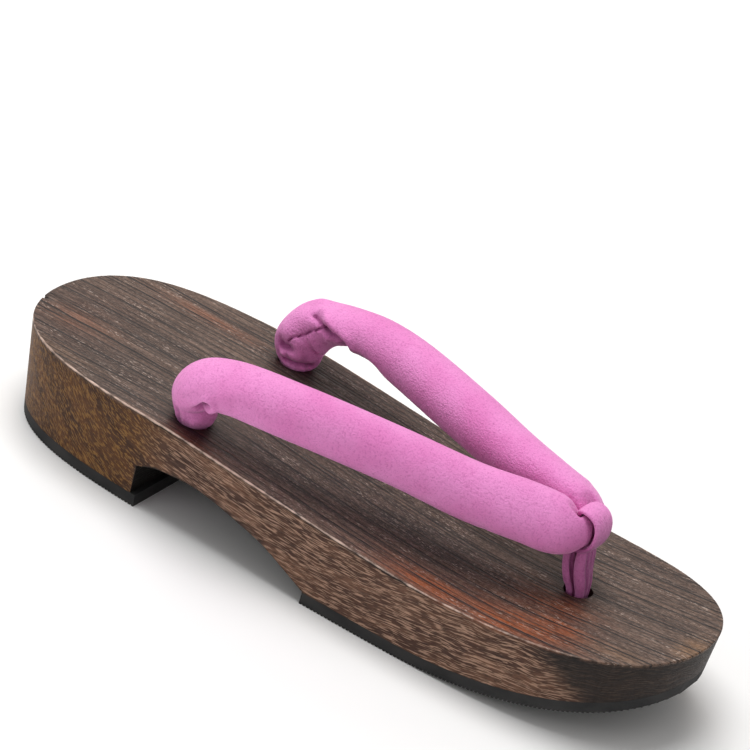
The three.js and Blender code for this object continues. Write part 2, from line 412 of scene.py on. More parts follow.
def outline_loop():
    """Points round the outline, and their inward directions: down one side and up the other."""
    share = np.linspace(0, np.pi, STATIONS + 1)
    x = LENGTH / 2 * np.cos(share)
    y = half_width(x)
    slope = np.gradient(y, share)
    run = np.gradient(x, share)
    inward = np.stack([slope, -run], axis=1)
    inward /= np.linalg.norm(inward, axis=1)[:, None]
    inward *= -np.sign(inward[:, 1:2] + 1e-9)
    inward[0] = (-1, 0)
    inward[-1] = (1, 0)
    return np.stack([x, y], axis=1), inward


def rim_radius(point):
    wander = noise.noise(Vector((point[0] * 0.05, point[1] * 0.05, 3.0)))
    wander += 0.6 * noise.noise(Vector((point[0] * 0.4, point[1] * 0.4, 8.0)))
    return RIM_RADIUS + RIM_WANDER * wander


def board_blank():
    edge, inward = outline_loop()
    rings = []
    for side in (1, -1):
        here = edge * (1, side)
        to_middle = inward * (1, side)
        radius = np.array([rim_radius(p) for p in here])[:, None]
        columns = []
        for k in range(RIM_ROWS + 1):
            turn = math.pi / 2 * k / RIM_ROWS
            place = here + to_middle * radius * (1 - math.sin(turn))
            top = bed_height(place[:, 0])
            columns.append(leaned(place[:, 0], place[:, 1], top - radius[:, 0] * (1 - math.cos(turn))))
        top = bed_height(here[:, 0]) - radius[:, 0]
        bottom = sole_height(here[:, 0]) + TREAD_TOP + 0.05
        for k in range(1, WALL_ROWS + 1):
            z = top + (bottom - top) * k / WALL_ROWS
            columns.append(leaned(here[:, 0], here[:, 1], z))
        rings.append(np.stack(columns, axis=1))
    count = len(edge)
    depth = rings[0].shape[1]
    points, faces = [], []
    for ring in rings:
        base = len(points)
        points.extend(ring.reshape(-1, 3))
        faces += [tuple(base + i for i in face) for face in grid_faces(count, depth)]
    for level in (0, depth - 1):
        left, right = rings[0][:, level], rings[1][:, level]
        share = np.linspace(0, 1, ACROSS + 1)[None, :, None]
        strip = left[:, None] * (1 - share) + right[:, None] * share
        base = len(points)
        points.extend(strip.reshape(-1, 3))
        faces += [tuple(base + i for i in face) for face in grid_faces(count, ACROSS + 1)]
    return mesh_object("board_wood", points, faces)


board = board_blank()
print("blank has", len(board.data.polygons), "faces")

# %% [markdown]
# The arch is a cutter with the side profile of the gap, as wide as the board, and the holes are
# plain drills, turned so that no corner falls on the board's middle line, where the exact
# solver would leave a sliver. A Boolean with the exact solver leaves crisp sawn edges, which the
# real one has.

# %% Arch and strap holes
REAR_HOLE = {"x": -47.6, "y": 28.6, "radius": 5.7}
FRONT_HOLE = {"x": 75.8, "y": 0.0, "radius": 4.6}
DRILL_SIDES = 48


def arch_cutter():
    line = smooth_rows(ARCH, 60)
    profile = np.concatenate([line, [(TREAD_BACK + 1, -3), (HEEL_FRONT, -3)]])
    sides = [np.insert(profile, 1, y, axis=1) * MM for y in (-WIDTH, WIDTH)]
    count = len(profile)
    faces = [tuple((i, (i + 1) % count, count + (i + 1) % count, count + i)) for i in range(count)]
    faces += [tuple(range(count)), tuple(range(count, 2 * count))]
    return mesh_object("arch_cutter", np.concatenate(sides), faces)


def drill(hole, side=1):
    turn = np.linspace(0, 2 * np.pi, DRILL_SIDES, endpoint=False) + np.pi / DRILL_SIDES
    radius = hole["radius"]
    ring = np.stack([hole["x"] + radius * np.cos(turn), side * hole["y"] + radius * np.sin(turn)], 1)
    sides = [np.insert(ring, 2, z, axis=1) * MM for z in (-5, 45)]
    count = DRILL_SIDES
    faces = [(i, (i + 1) % count, count + (i + 1) % count, count + i) for i in range(count)]
    faces += [tuple(range(count)), tuple(range(count, 2 * count))]
    return mesh_object("drill", np.concatenate(sides), faces)


carve(board, arch_cutter())
for cutter in (drill(REAR_HOLE), drill(REAR_HOLE, -1), drill(FRONT_HOLE)):
    carve(board, cutter)
print("carved board has", len(board.data.polygons), "faces")

# %% [markdown]
# The corner of the rim has one small chip at the heel, where a crack in the grain has opened.
# A wedge cuts it.

# %% Chip at the heel
CHIP = {"y": -9.0, "wide": 2.2, "deep": 5.6, "high": 3.2}


def chip_cutter():
    x = -LENGTH / 2 - 1
    top = 33.0
    floor_z = 31.0 - CHIP["high"]
    points = [
        (x, CHIP["y"] - CHIP["wide"], top),
        (x, CHIP["y"] + CHIP["wide"], top),
        (x + 1 + CHIP["deep"], CHIP["y"], top),
        (x, CHIP["y"] - CHIP["wide"] * 0.7, floor_z),
        (x, CHIP["y"] + CHIP["wide"] * 0.7, floor_z),
    ]
    faces = [(0, 1, 2), (0, 3, 4, 1), (1, 4, 2), (0, 2, 3), (3, 2, 4)]
    return mesh_object("chip_cutter", np.array(points) * MM, faces)


carve(board, chip_cutter())
smooth_shaded(board.data, 32)
print("board triangles:", sum(len(p.vertices) - 2 for p in board.data.polygons))

# %% [markdown]
# ## What the wood shows where
#
# The scorched and brushed top, the sides with their open pores and the end grain are one piece
# of wood, but light and wear treat them differently. Some of the light is painted in as shade:
# the arch's recess is made nearly black, the toe's end near black, the top dark round and under
# the strap, and a few scorched spots under the strap darker still. Each difference is painted
# on the points as a number from 0 to 1, worked out from where a point lies, and the material
# reads it. The grain of the sides gets coordinates of its own: one runs along the fibres, which
# dip steeply in the heel and follow the arch, and the other counts across them.

# %% Paint the board
FIBRE_DIP = [
    {"x": -125, "dip": -0.9},
    {"x": -80, "dip": -0.8},
    {"x": -62, "dip": -0.4},
    {"x": -45, "dip": -0.12},
    {"x": 0, "dip": -0.04},
    {"x": 30, "dip": 0.1},
    {"x": 125, "dip": 0.14},
]
CURL_SIZE = 9.0
CURL_HEIGHT = 1.6


WARM_SPOTS = [
    {"x": 46, "y": -35, "long": 16, "wide": 6, "much": 1.0},
    {"x": 70, "y": -32, "long": 19, "wide": 9, "much": 1.0},
    {"x": 72, "y": -14, "long": 15, "wide": 8, "much": 0.9},
    {"x": 80, "y": -26, "long": 13, "wide": 10, "much": 0.95},
    {"x": -40, "y": -37, "long": 9, "wide": 5, "much": 0.6},
    {"x": -104, "y": -12, "long": 14, "wide": 16, "much": 0.3},
    {"x": -76, "y": 26, "long": 18, "wide": 3, "much": 0.4},
]
# Scorched spots. Those on the middle of the top, under the strap, are also painted shade of the strap.
SCORCH_AND_SHADE_SPOTS = [
    {"x": 30, "y": -16, "long": 38, "wide": 12, "much": 1.0},
    {"x": 56, "y": -14, "long": 20, "wide": 8, "much": 0.9},
    {"x": -8, "y": -26, "long": 26, "wide": 9, "much": 0.75},
    {"x": 0, "y": 0, "long": 46, "wide": 16, "much": 0.45},
    {"x": -118.5, "y": -9, "long": 2.6, "wide": 1.8, "much": 1.0},
    {"x": -30, "y": 22, "long": 20, "wide": 12, "much": 0.35},
]
PALE_SPOTS = [
    {"x": 117, "y": -5, "long": 4, "wide": 7, "much": 1.0},
    {"x": 104, "y": -24, "long": 9, "wide": 4, "much": 0.45},
    {"x": -96, "y": -33, "long": 12, "wide": 4, "much": 0.3},
]


def ramp(value, low, high):
    share = np.clip((value - low) / (high - low), 0, 1)
    return share * share * (3 - 2 * share)


def patch(points, x, y, long, wide):
    """A soft spot on the top, 1 at its middle."""
    return np.exp(-((points[:, 0] - x) / long) ** 2 - ((points[:, 1] - y) / wide) ** 2)


def spots(points, table):
    """The strongest of a table's soft spots at each point."""
    amounts = [row["much"] * patch(points, row["x"], row["y"], row["long"], row["wide"]) for row in table]
    return np.max(amounts, axis=0)


def wander(points, size, shift=0.0):
    """Smooth noise at the points, about -1 to 1, with features of `size` mm."""
    return np.array([noise.noise(Vector((p / size).tolist()) + Vector((shift, 0, 0))) for p in points])


def fibre_coordinates(points):
    table = np.array([list(row.values()) for row in FIBRE_DIP], float)
    x = np.linspace(-125, 125, 501)
    dip = np.interp(x, table[:, 0], table[:, 1])
    step = x[1] - x[0]
    fall = np.cumsum(dip) * step
    run = np.cumsum(np.sqrt(1 + dip**2)) * step
    curl = 0.25 + 0.75 * ramp(points[:, 0], 30, 75)
    across = points[:, 2] - np.interp(points[:, 0], x, fall)
    across += CURL_HEIGHT * curl * wander(points, CURL_SIZE, 5.0)
    along = np.interp(points[:, 0], x, run)
    along += CURL_HEIGHT * curl * wander(points, CURL_SIZE, 11.0)
    return np.stack([along, across], axis=1)


def paint_board(mesh):
    points = points_of(mesh)
    x, y, z = points.T
    below_bed = bed_height(x) - z
    reach = half_width(x)
    to_rim = np.abs(reach - np.abs(y))
    paint(mesh, "side", ramp(below_bed, 0.5, 1.1))
    paint(mesh, "rim_distance", np.maximum(below_bed, 0) + to_rim)
    # Painted shade: the arch's recess, under the board and on the heel's and forefoot's faces towards it, is
    # marked to be made nearly black.
    arch_line = smooth_rows(ARCH, 60)
    arch_top = np.interp(x, arch_line[:, 0], arch_line[:, 1], left=0, right=0)
    in_arch = (z < arch_top + 0.15) & (x > HEEL_FRONT - 0.1) & (x < TREAD_BACK + 0.1)
    paint(mesh, "arch_shade", in_arch.astype(float))
    paint(mesh, "heel_end", ramp(x, -111, -118))
    # The toe's end faces away from the light. This mask darkens it with painted shade and keeps its rim less
    # worn.
    paint(mesh, "toe_end", ramp(x + 1.2 * (z - 24), 78, 92))
    paint(mesh, "heel_gold", ramp(x, -38, -62))
    # Painted shade: the top is darkened round and under the strap's feet at the holes, where the strap
    # shades it.
    strap_foot_shade = np.zeros(len(x))
    for side in (1, -1):
        hole_y = side * REAR_HOLE["y"]
        strap_foot_shade = np.maximum(strap_foot_shade, patch(points, REAR_HOLE["x"] + 2, hole_y - 1.5, 10, 8.5))
        strap_foot_shade = np.maximum(strap_foot_shade, 0.8 * patch(points, REAR_HOLE["x"] + 7, hole_y - 6, 13, 6))
    strap_foot_shade = np.maximum(strap_foot_shade, patch(points, FRONT_HOLE["x"] - 1, 0, 7.5, 6.5))
    paint(mesh, "strap_foot_shade", strap_foot_shade * ramp(below_bed, 1.5, 0.5))
    paint(mesh, "warm", spots(points, WARM_SPOTS))
    # Scorch, and painted shade where the strap shades the top.
    paint(mesh, "scorch_and_shade", spots(points, SCORCH_AND_SHADE_SPOTS))
    paint(mesh, "pale", spots(points, PALE_SPOTS))
    fibres = fibre_coordinates(points)
    layer = mesh.attributes.new("fibres", "FLOAT_VECTOR", "POINT")
    layer.data.foreach_set("vector", np.insert(fibres, 2, y, axis=1).astype(np.float32).ravel())


paint_board(board.data)
print("painted:", [a.name for a in board.data.attributes if a.name not in ("position", "sharp_edge")])

# %% [markdown]
# ## Scorched paulownia
#
# The wood is burned with a flame, brushed so that the soft early wood sinks between the hard
# rings, and lacquered. On the top that gives thin dark ring lines a few millimetres apart,
# broken and unevenly spaced, over a grey-brown satin ground. The pale specks beside them are
# painted glints of the brushed fibres, and the fine grit's light specks are painted glints too.
# On the sides the pores show as short pale dashes along the fibres. The layers below follow
# that order, and lengths are real ones in millimetres.

# %% Material of the board
RING_SPACING = 7.4
RING_WIDTH = 0.75
STREAK_SIZE = (34.0, 1.3, 1.3)
FIBRE_SIZE = (11.0, 0.42, 0.42)
GLINT_SIZE = (1.5, 0.36, 0.36)
BAND_SIZE = (120.0, 11.0, 60.0)
DASH_SIZE = (4.2, 0.38, 6.0)
PORE_SIZE = (2.6, 0.34, 4.0)
HEEL_DASH_SIZE = (1.8, 0.5, 6.0)
GRIT_AND_GLINT_SIZE = (1.2, 0.5, 0.5)
CRACK_SWAY = 3.0


def ring_lines(tree, place, spacing, shift):
    """Thin lines along the board, unevenly spaced, swaying a little and broken in places."""
    sway = grain_noise(tree, place, (50, 40, 400), 1.0)
    parts = add(tree, "ShaderNodeSeparateXYZ", {0: place})
    across = maths(tree, "DIVIDE", parts.outputs[1], spacing * MM)
    across = maths(tree, "ADD", across, maths(tree, "MULTIPLY", sway, 0.5))
    settings = {"voronoi_dimensions": "1D", "feature": "DISTANCE_TO_EDGE"}
    counted = {"W": maths(tree, "ADD", across, shift), "Scale": 1.0}
    edge = add(tree, "ShaderNodeTexVoronoi", counted, **settings)
    half = RING_WIDTH / 2 / spacing
    line = spread(tree, edge.outputs["Distance"], 0.4 * half, 1.6 * half, 1.0, 0.0)
    broken = spread(tree, grain_noise(tree, place, (20, 2.6, 400), 4.0), 0.34, 0.52, 0.4, 1.0)
    return maths(tree, "MULTIPLY", line, broken)


def crack_line(tree, place):
    """The one open crack, running forward from the chip and dying out before the strap."""
    parts = add(tree, "ShaderNodeSeparateXYZ", {0: place})
    sway = maths(tree, "MULTIPLY", grain_noise(tree, place, (30, 30, 400), 2.0), CRACK_SWAY * MM)
    middle = (CHIP["y"] - CRACK_SWAY / 2) * MM
    off = maths(tree, "ADD", maths(tree, "SUBTRACT", parts.outputs[1], middle), sway)
    line = spread(tree, maths(tree, "ABSOLUTE", off), 0.25 * MM, 0.6 * MM, 1.0, 0.0)
    return maths(tree, "MULTIPLY", line, spread(tree, parts.outputs[0], -75 * MM, -50 * MM, 1.0, 0.0))


def board_top(tree, place, rings, fibre):
    """The brushed face: bands, streaks, warm and pale spots, scorched spots that are partly painted shade
    under the strap, fibres, grit with painted glints, ring lines, and painted shade round the strap's feet.
    """
    band = spread(tree, grain_noise(tree, place, BAND_SIZE, 3.0), 0.36, 0.64)
    streak = spread(tree, grain_noise(tree, place, STREAK_SIZE, 4.0, 0.6), 0.34, 0.68)
    colour = mix(tree, band, linear("523d33"), linear("735a4c"))
    colour = mix(tree, maths(tree, "MULTIPLY", streak, 0.55), colour, linear("362823"))
    warm = maths(tree, "MULTIPLY", painted(tree, "warm"), spread(tree, streak, 0.0, 1.0, 1.0, 0.55))
    colour = mix(tree, warm, colour, mix(tree, band, linear("5a1e00"), linear("ae5204")))
    colour = mix(tree, painted(tree, "pale"), colour, linear("96704f"))
    # These spots darken the top as scorch and, under the strap, as painted shade.
    scorch_and_shade = maths(tree, "MULTIPLY", painted(tree, "scorch_and_shade"), spread(tree, streak, 0.0, 1.0, 0.55, 1.0))
    colour = mix(tree, scorch_and_shade, colour, linear("241a1b"))
    colour = mix(tree, maths(tree, "MULTIPLY", fibre, 0.62), colour, linear("241713"))
    # Fine grit of light and dark specks over the top; its light specks are partly painted glints of the
    # brushed grain.
    grit_and_glints = grain_noise(tree, place, GRIT_AND_GLINT_SIZE, 1.0)
    colour = mix(tree, spread(tree, grit_and_glints, 0.5, 0.72, 0.0, 0.25), colour, linear("a08674"))
    colour = mix(tree, spread(tree, grit_and_glints, 0.32, 0.5, 0.35, 0.0), colour, linear("281b17"))
    # Painted glints: pale specks where brushed fibres would catch the light, in patches and on the darkest
    # spots.
    painted_glints = spread(tree, grain_noise(tree, place, GLINT_SIZE, 2.0), 0.58, 0.68)
    patches = spread(tree, grain_noise(tree, place, (22, 3.5, 400), 3.0), 0.46, 0.62)
    glint_area = maths(tree, "MAXIMUM", patches, maths(tree, "MULTIPLY", scorch_and_shade, 0.8))
    painted_glints = maths(tree, "MULTIPLY", painted_glints, glint_area)
    colour = mix(tree, maths(tree, "MULTIPLY", painted_glints, 0.75), colour, linear("c4b0a4"))
    colour = mix(tree, rings, colour, linear("150d0c"))
    # Painted shade round the strap's feet, nearly black.
    return mix(tree, maths(tree, "MULTIPLY", painted(tree, "strap_foot_shade"), 0.92), colour, linear("1e0e0b"))


def board_side(tree, place):
    """The sawn sides: pores as pale dashes along the fibres, streaked end grain at the heel, and at the toe
    end grain darkened by painted shade.
    """
    layout = add(tree, "ShaderNodeAttribute", attribute_name="fibres").outputs["Vector"]
    fibres = add(tree, "ShaderNodeVectorMath", {0: layout, "Scale": MM}, operation="SCALE").outputs[0]
    broad = spread(tree, grain_noise(tree, fibres, (24, 4, 60), 3.0), 0.34, 0.68)
    colour = mix(tree, broad, linear("452c22"), linear("71503e"))
    gold = painted(tree, "heel_gold")
    colour = mix(tree, gold, colour, mix(tree, broad, linear("3c210e"), linear("5a3718")))
    short = grain_noise(tree, fibres, HEEL_DASH_SIZE, 1.0)
    long = grain_noise(tree, fibres, DASH_SIZE, 1.0)
    dashes = spread(tree, mix_value(tree, gold, long, short), 0.5, 0.6)
    pores = spread(tree, grain_noise(tree, fibres, PORE_SIZE, 1.0), 0.52, 0.66)
    dash_colour = mix(tree, gold, linear("bb967e"), linear("946a35"))
    colour = mix(tree, maths(tree, "MULTIPLY", dashes, 0.68), colour, dash_colour)
    colour = mix(tree, maths(tree, "MULTIPLY", pores, 0.6), colour, linear("22140d"))
    streak = spread(tree, grain_noise(tree, place, (0.9, 0.9, 24), 3.0), 0.3, 0.7)
    end = mix(tree, streak, linear("281a10"), linear("3d2a1a"))
    colour = mix(tree, painted(tree, "heel_end"), colour, end)
    # The toe's end: streaked end grain, made near black with painted shade.
    end_grain_and_shade = mix(tree, streak, linear("0f0d0c"), linear("1a1716"))
    return mix(tree, maths(tree, "MULTIPLY", painted(tree, "toe_end"), 0.9), colour, end_grain_and_shade), dashes


def scorched_paulownia():
    """Burned, brushed and lacquered softwood: satin, with sunken grain that catches the light."""
    material, tree, shader = new_material("scorched_paulownia", {"IOR": 1.5, "Specular IOR Level": 0.28})
    place = add(tree, "ShaderNodeTexCoord").outputs["Object"]
    faint = maths(tree, "MULTIPLY", ring_lines(tree, place, RING_SPACING / 2.3, 5.7), 0.6)
    rings = maths(tree, "MAXIMUM", ring_lines(tree, place, RING_SPACING, 0.3), faint)
    rings = maths(tree, "MAXIMUM", rings, crack_line(tree, place))
    fibre = spread(tree, grain_noise(tree, place, FIBRE_SIZE, 3.0, 0.6), 0.36, 0.66)
    top = board_top(tree, place, rings, fibre)
    side, dashes = board_side(tree, place)
    on_side = painted(tree, "side")
    colour = mix(tree, on_side, top, side)
    nibble = maths(tree, "MULTIPLY", grain_noise(tree, place, (3, 3, 3), 3.0), 0.8)
    worn = spread(tree, maths(tree, "ADD", painted(tree, "rim_distance"), nibble), 0.62, 1.0, 1.0, 0.0)
    wear = spread(tree, grain_noise(tree, place, (14, 14, 14), 4.0), 0.3, 0.5, 0.5, 1.0)
    worn = maths(tree, "MULTIPLY", worn, wear)
    worn = maths(tree, "MULTIPLY", worn, spread(tree, painted(tree, "toe_end"), 0.3, 0.9, 1.0, 0.3))
    colour = mix(tree, maths(tree, "MULTIPLY", worn, 0.9), colour, linear("dcc0b0"))
    # Painted shade in the arch's recess, nearly black.
    colour = mix(tree, painted(tree, "arch_shade"), colour, linear("14100d"))
    tree.links.new(colour, shader.inputs["Base Color"])
    gloss = spread(tree, fibre, 0.0, 1.0, 0.38, 0.56)
    rough = maths(tree, "ADD", gloss, maths(tree, "MULTIPLY", on_side, 0.12))
    tree.links.new(rough, shader.inputs["Roughness"])
    brushed = maths(tree, "MULTIPLY", fibre, -0.45)
    top_height = maths(tree, "SUBTRACT", brushed, rings)
    height = mix(tree, on_side, top_height, maths(tree, "MULTIPLY", dashes, 0.4))
    bump = add(tree, "ShaderNodeBump", {"Height": height, "Distance": 0.2 * MM, "Strength": 0.9})
    tree.links.new(bump.outputs[0], shader.inputs["Normal"])
    return material


board.data.materials.clear()
board.data.materials.append(scorched_paulownia())
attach(board, "root")
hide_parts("board")
print("board wears", board.data.materials[0].name)

# %% [markdown]
# ## The treads
#
# Two pieces of black rubber are glued under the wood, cut flush with it. Their faces are
# moulded with fine ribs across the shoe, so that wood does not slide on stone. Each tread is a
# loft with the board's outline. Its ribs repeat along one line, so Geometry Nodes place them:
# they resample the line at the rib spacing, set one rib on each point, as long as the tread is
# wide there, and turn it with the line as it rises towards the toe.

# %% Tread bodies
RIB_SPACING = 1.3
RIB_WIDTH = 0.75
RIB_HEIGHT = 0.3
TREAD_STATIONS = 90


def tread_blank(name, x_from, x_to):
    """A plate between the outline's two sides, from the ribs up to the wood."""
    share = (1 - np.cos(np.linspace(0, np.pi, TREAD_STATIONS + 1))) / 2
    x = x_from + (x_to - x_from) * share
    y = half_width(x)
    corners = []
    for side, lift in ((1, TREAD_TOP), (1, RIB_HEIGHT), (-1, RIB_HEIGHT), (-1, TREAD_TOP)):
        corners.append(leaned(x, side * y, sole_height(x) + lift))
    ring = np.stack(corners, axis=1)
    points = ring.reshape(-1, 3)
    faces = grid_faces(len(x), 4, closed=True)
    last = (len(x) - 1) * 4
    faces += [(0, 1, 2, 3), (last + 3, last + 2, last + 1, last)]
    return mesh_object(name, points, faces)


def rib_line(name, x_from, x_to):
    """The middle line under a tread, with the half width of the tread stored on its points."""
    x = np.linspace(x_from + RIB_WIDTH / 2, x_to - RIB_WIDTH / 2, 80)
    z = sole_height(x) + RIB_HEIGHT / 2
    line = leaned(x, 0 * x, z)
    mesh = bpy.data.meshes.new(name)
    mesh.from_pydata([tuple(p) for p in line], [(i, i + 1) for i in range(len(x) - 1)], [])
    edge = np.minimum(half_width(x - RIB_WIDTH / 2), half_width(x + RIB_WIDTH / 2))
    paint(mesh, "reach", leaned(x, edge, z)[:, 1])
    piece = bpy.data.objects.new(name, mesh)
    bpy.context.scene.collection.objects.link(piece)
    return piece


# %% Geometry Nodes for ribs
def new_tree(name, sizes):
    """A geometry tree with one geometry input, named number inputs and a geometry output."""
    tree = bpy.data.node_groups.new(name, "GeometryNodeTree")
    tree.interface.new_socket("Geometry", in_out="INPUT", socket_type="NodeSocketGeometry")
    for label in sizes:
        tree.interface.new_socket(label, in_out="INPUT", socket_type="NodeSocketFloat")
    tree.interface.new_socket("Material", in_out="INPUT", socket_type="NodeSocketMaterial")
    tree.interface.new_socket("Geometry", in_out="OUTPUT", socket_type="NodeSocketGeometry")
    return tree, tree.nodes.new("NodeGroupInput").outputs


def finish_tree(tree, geometry, material):
    solid = add(tree, "GeometryNodeRealizeInstances", {"Geometry": geometry})
    worn = add(tree, "GeometryNodeSetMaterial", {"Geometry": solid.outputs[0], "Material": material})
    add(tree, "NodeGroupOutput", {0: worn.outputs[0]})
    return tree


def rib_tree():
    tree, given = new_tree("tread_ribs", ["Spacing", "Width", "Height"])
    line = add(tree, "GeometryNodeMeshToCurve", {"Mesh": given["Geometry"]})
    spaced = {"Curve": line.outputs[0], "Length": given["Spacing"]}
    even = add(tree, "GeometryNodeResampleCurve", spaced, mode="LENGTH")
    core = add(tree, "GeometryNodeCurvePrimitiveLine", {"Start": (0, -1, 0), "End": (0, 1, 0)})
    sides = {"Width": given["Width"], "Height": given["Height"]}
    section = add(tree, "GeometryNodeCurvePrimitiveQuadrilateral", sides)
    solid = {0: core.outputs[0], 1: section.outputs[0], "Fill Caps": True}
    rib = add(tree, "GeometryNodeCurveToMesh", solid)
    reach = add(tree, "GeometryNodeInputNamedAttribute", {"Name": "reach"}, data_type="FLOAT")
    size = add(tree, "ShaderNodeCombineXYZ", {0: 1.0, 1: reach.outputs[0], 2: 1.0})
    way = add(tree, "GeometryNodeInputTangent")
    facing = {"Vector": way.outputs[0]}
    turn = add(tree, "FunctionNodeAlignRotationToVector", facing, axis="X", pivot_axis="Y")
    names = {"Points": even.outputs[0], "Instance": rib.outputs[0]}
    names |= {"Rotation": turn.outputs[0], "Scale": size.outputs[0]}
    ribs = add(tree, "GeometryNodeInstanceOnPoints", names)
    return finish_tree(tree, ribs.outputs[0], given["Material"])


def run_tree(piece, tree, values):
    """Runs a tree on an object and leaves a plain mesh."""
    modifier = piece.modifiers.new(tree.name, "NODES")
    modifier.node_group = tree
    for item in tree.interface.items_tree:
        if item.in_out == "INPUT" and item.name in values:
            modifier[item.identifier] = values[item.name]
    return baked(piece)


# %% [markdown]
# The rubber is cut from a moulded sheet: matt, nearly black, with a faint grey bloom where
# dust and wear have dulled it.

# %% Material of the treads
def moulded_rubber():
    """Moulded rubber: matt black with a fine grain, and dust in it that greys it unevenly."""
    material, tree, shader = new_material("moulded_rubber", {"IOR": 1.5, "Roughness": 0.85})
    place = add(tree, "ShaderNodeTexCoord").outputs["Object"]
    dust = spread(tree, grain_noise(tree, place, (14, 14, 5), 4.0), 0.35, 0.7)
    tree.links.new(mix(tree, dust, linear("1d1d1e"), linear("2f2e2e")), shader.inputs["Base Color"])
    pebble = grain_noise(tree, place, (0.6, 0.6, 0.6), 2.0)
    bump = add(tree, "ShaderNodeBump", {"Height": pebble, "Distance": 0.06 * MM, "Strength": 0.7})
    tree.links.new(bump.outputs[0], shader.inputs["Normal"])
    return material


def joined(pieces, name, material):
    """Joins mesh objects at the origin into one, of one material."""
    whole = bmesh.new()
    for piece in pieces:
        whole.from_mesh(piece.data)
    for face in whole.faces:
        face.material_index = 0
    mesh = bpy.data.meshes.new(name)
    whole.to_mesh(mesh)
    whole.free()
    mesh.materials.append(material)
    for piece in pieces:
        bpy.data.objects.remove(piece)
    result = bpy.data.objects.new(name, mesh)
    bpy.context.scene.collection.objects.link(result)
    return result


RUBBER = moulded_rubber()
RIBS = rib_tree()


def build_tread(name, x_from, x_to, node):
    blank = tread_blank(name + "_plate", x_from, x_to)
    ribs = rib_line(name + "_ribs", x_from, x_to)
    sizes = {"Spacing": RIB_SPACING * MM, "Width": RIB_WIDTH * MM}
    sizes |= {"Height": RIB_HEIGHT * MM, "Material": RUBBER}
    run_tree(ribs, RIBS, sizes)
    tread = joined([blank, ribs], name, RUBBER)
    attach(tread, "root")
    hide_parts(node)
    print(name, "has", len(tread.data.polygons), "faces, lowest point",
          round(min(v.co.z for v in tread.data.vertices) / MM, 2), "mm")


build_tread("heel_rubber", -LENGTH / 2 + 0.4, HEEL_FRONT, "heel_tread")
build_tread("forefoot_rubber", TREAD_BACK, LENGTH / 2 - 0.4, "front_tread")

# %% [markdown]
# ## The padded strap
#
# The strap is two arms of pink crepe stuffed with wadding. Each starts in a hole beside the
# heel, where the cloth is gathered round its cord, turns over in an elbow and runs to the
# front, where the arms are pressed together. An arm is first lofted through oval sections, each
# with a place, half sizes and a tilt about the line of the arm, slightly slimmer than the real
# one. Then the folds that the maker's needle and the cord pull in are placed one by one, and a
# short cloth simulation with air pressure swells what lies between them.

# %% Strap sections
STRAP = [
    {"x": -47.6, "y": 28.6, "z": 18.0, "wide": 4.7, "deep": 4.7, "drop": 0},
    {"x": -47.6, "y": 28.6, "z": 30.4, "wide": 5.3, "deep": 5.3, "drop": 0},
    {"x": -47.6, "y": 28.6, "z": 32.2, "wide": 6.9, "deep": 6.7, "drop": 2},
    {"x": -47.9, "y": 28.6, "z": 35.0, "wide": 7.6, "deep": 7.1, "drop": 6},
    {"x": -49.2, "y": 28.9, "z": 38.8, "wide": 8.5, "deep": 6.9, "drop": 15},
    {"x": -46.6, "y": 31.1, "z": 44.4, "wide": 9.4, "deep": 7.3, "drop": 22},
    {"x": -37.6, "y": 31.9, "z": 49.0, "wide": 10.0, "deep": 7.0, "drop": 14},
    {"x": -15.0, "y": 28.6, "z": 50.4, "wide": 9.6, "deep": 8.0, "drop": 19},
    {"x": 16.0, "y": 20.4, "z": 49.0, "wide": 9.8, "deep": 8.2, "drop": 26},
    {"x": 40.0, "y": 14.1, "z": 47.1, "wide": 10.1, "deep": 7.8, "drop": 41},
    {"x": 56.5, "y": 10.0, "z": 47.4, "wide": 10.0, "deep": 6.8, "drop": 47},
    {"x": 67.4, "y": 6.2, "z": 46.9, "wide": 8.9, "deep": 6.6, "drop": 52},
    {"x": 72.4, "y": 0.0, "z": 46.9, "wide": 5.7, "deep": 4.7, "drop": 62},
]
ARM_ROWS = 170
ARM_SIDES = 56
SLIMMING = 0.3
LEFT, RIGHT = 1, -1


def unit(vectors):
    return vectors / np.linalg.norm(vectors, axis=-1, keepdims=True)


class Arm:
    """The left arm's surface: its points, their outward ways, and two coordinates on the cloth.

    `along` is the distance in mm from the end in the hole, and `around` the angle in degrees
    from the outer edge, up over the top."""

    def __init__(self, rows, sides):
        line = smooth_rows(STRAP, rows, 3)
        place = line[:, :3]
        ahead = unit(np.gradient(place, axis=0))
        upright = np.abs(ahead[:, 2:3]) ** 4
        across = np.stack([-ahead[:, 1], ahead[:, 0], 0 * ahead[:, 0]], 1) * (1 - upright)
        across += np.array([0, 1, 0]) * upright
        side = unit(np.cross(unit(np.cross(ahead, across)), ahead))
        up = np.cross(ahead, side)
        drop = np.radians(line[:, 5:6])
        side, up = side * np.cos(drop) - up * np.sin(drop), up * np.cos(drop) + side * np.sin(drop)
        wide = line[:, 3:4, None] - SLIMMING
        deep = line[:, 4:5, None] - SLIMMING
        turn = np.linspace(0, 2 * np.pi, sides, endpoint=False)[None, :, None]
        sideways = side[:, None] * wide * np.cos(turn)
        self.points = place[:, None] + sideways + up[:, None] * deep * np.sin(turn)
        self.out = unit(side[:, None] * np.cos(turn) / wide + up[:, None] * np.sin(turn) / deep)
        gone = np.cumsum(np.linalg.norm(np.diff(place, axis=0, prepend=place[:1]), axis=1))
        self.along = np.repeat(gone[:, None], sides, 1)
        self.around = np.repeat(np.degrees(turn[..., 0]), rows, 0)
        self.radius = np.repeat((wide[..., 0] + deep[..., 0]) / 2, sides, 1)


arm_probe = Arm(ARM_ROWS, ARM_SIDES)
ARM_LENGTH = arm_probe.along[-1, 0]
print("an arm is", round(ARM_LENGTH, 1), "mm along its middle line")
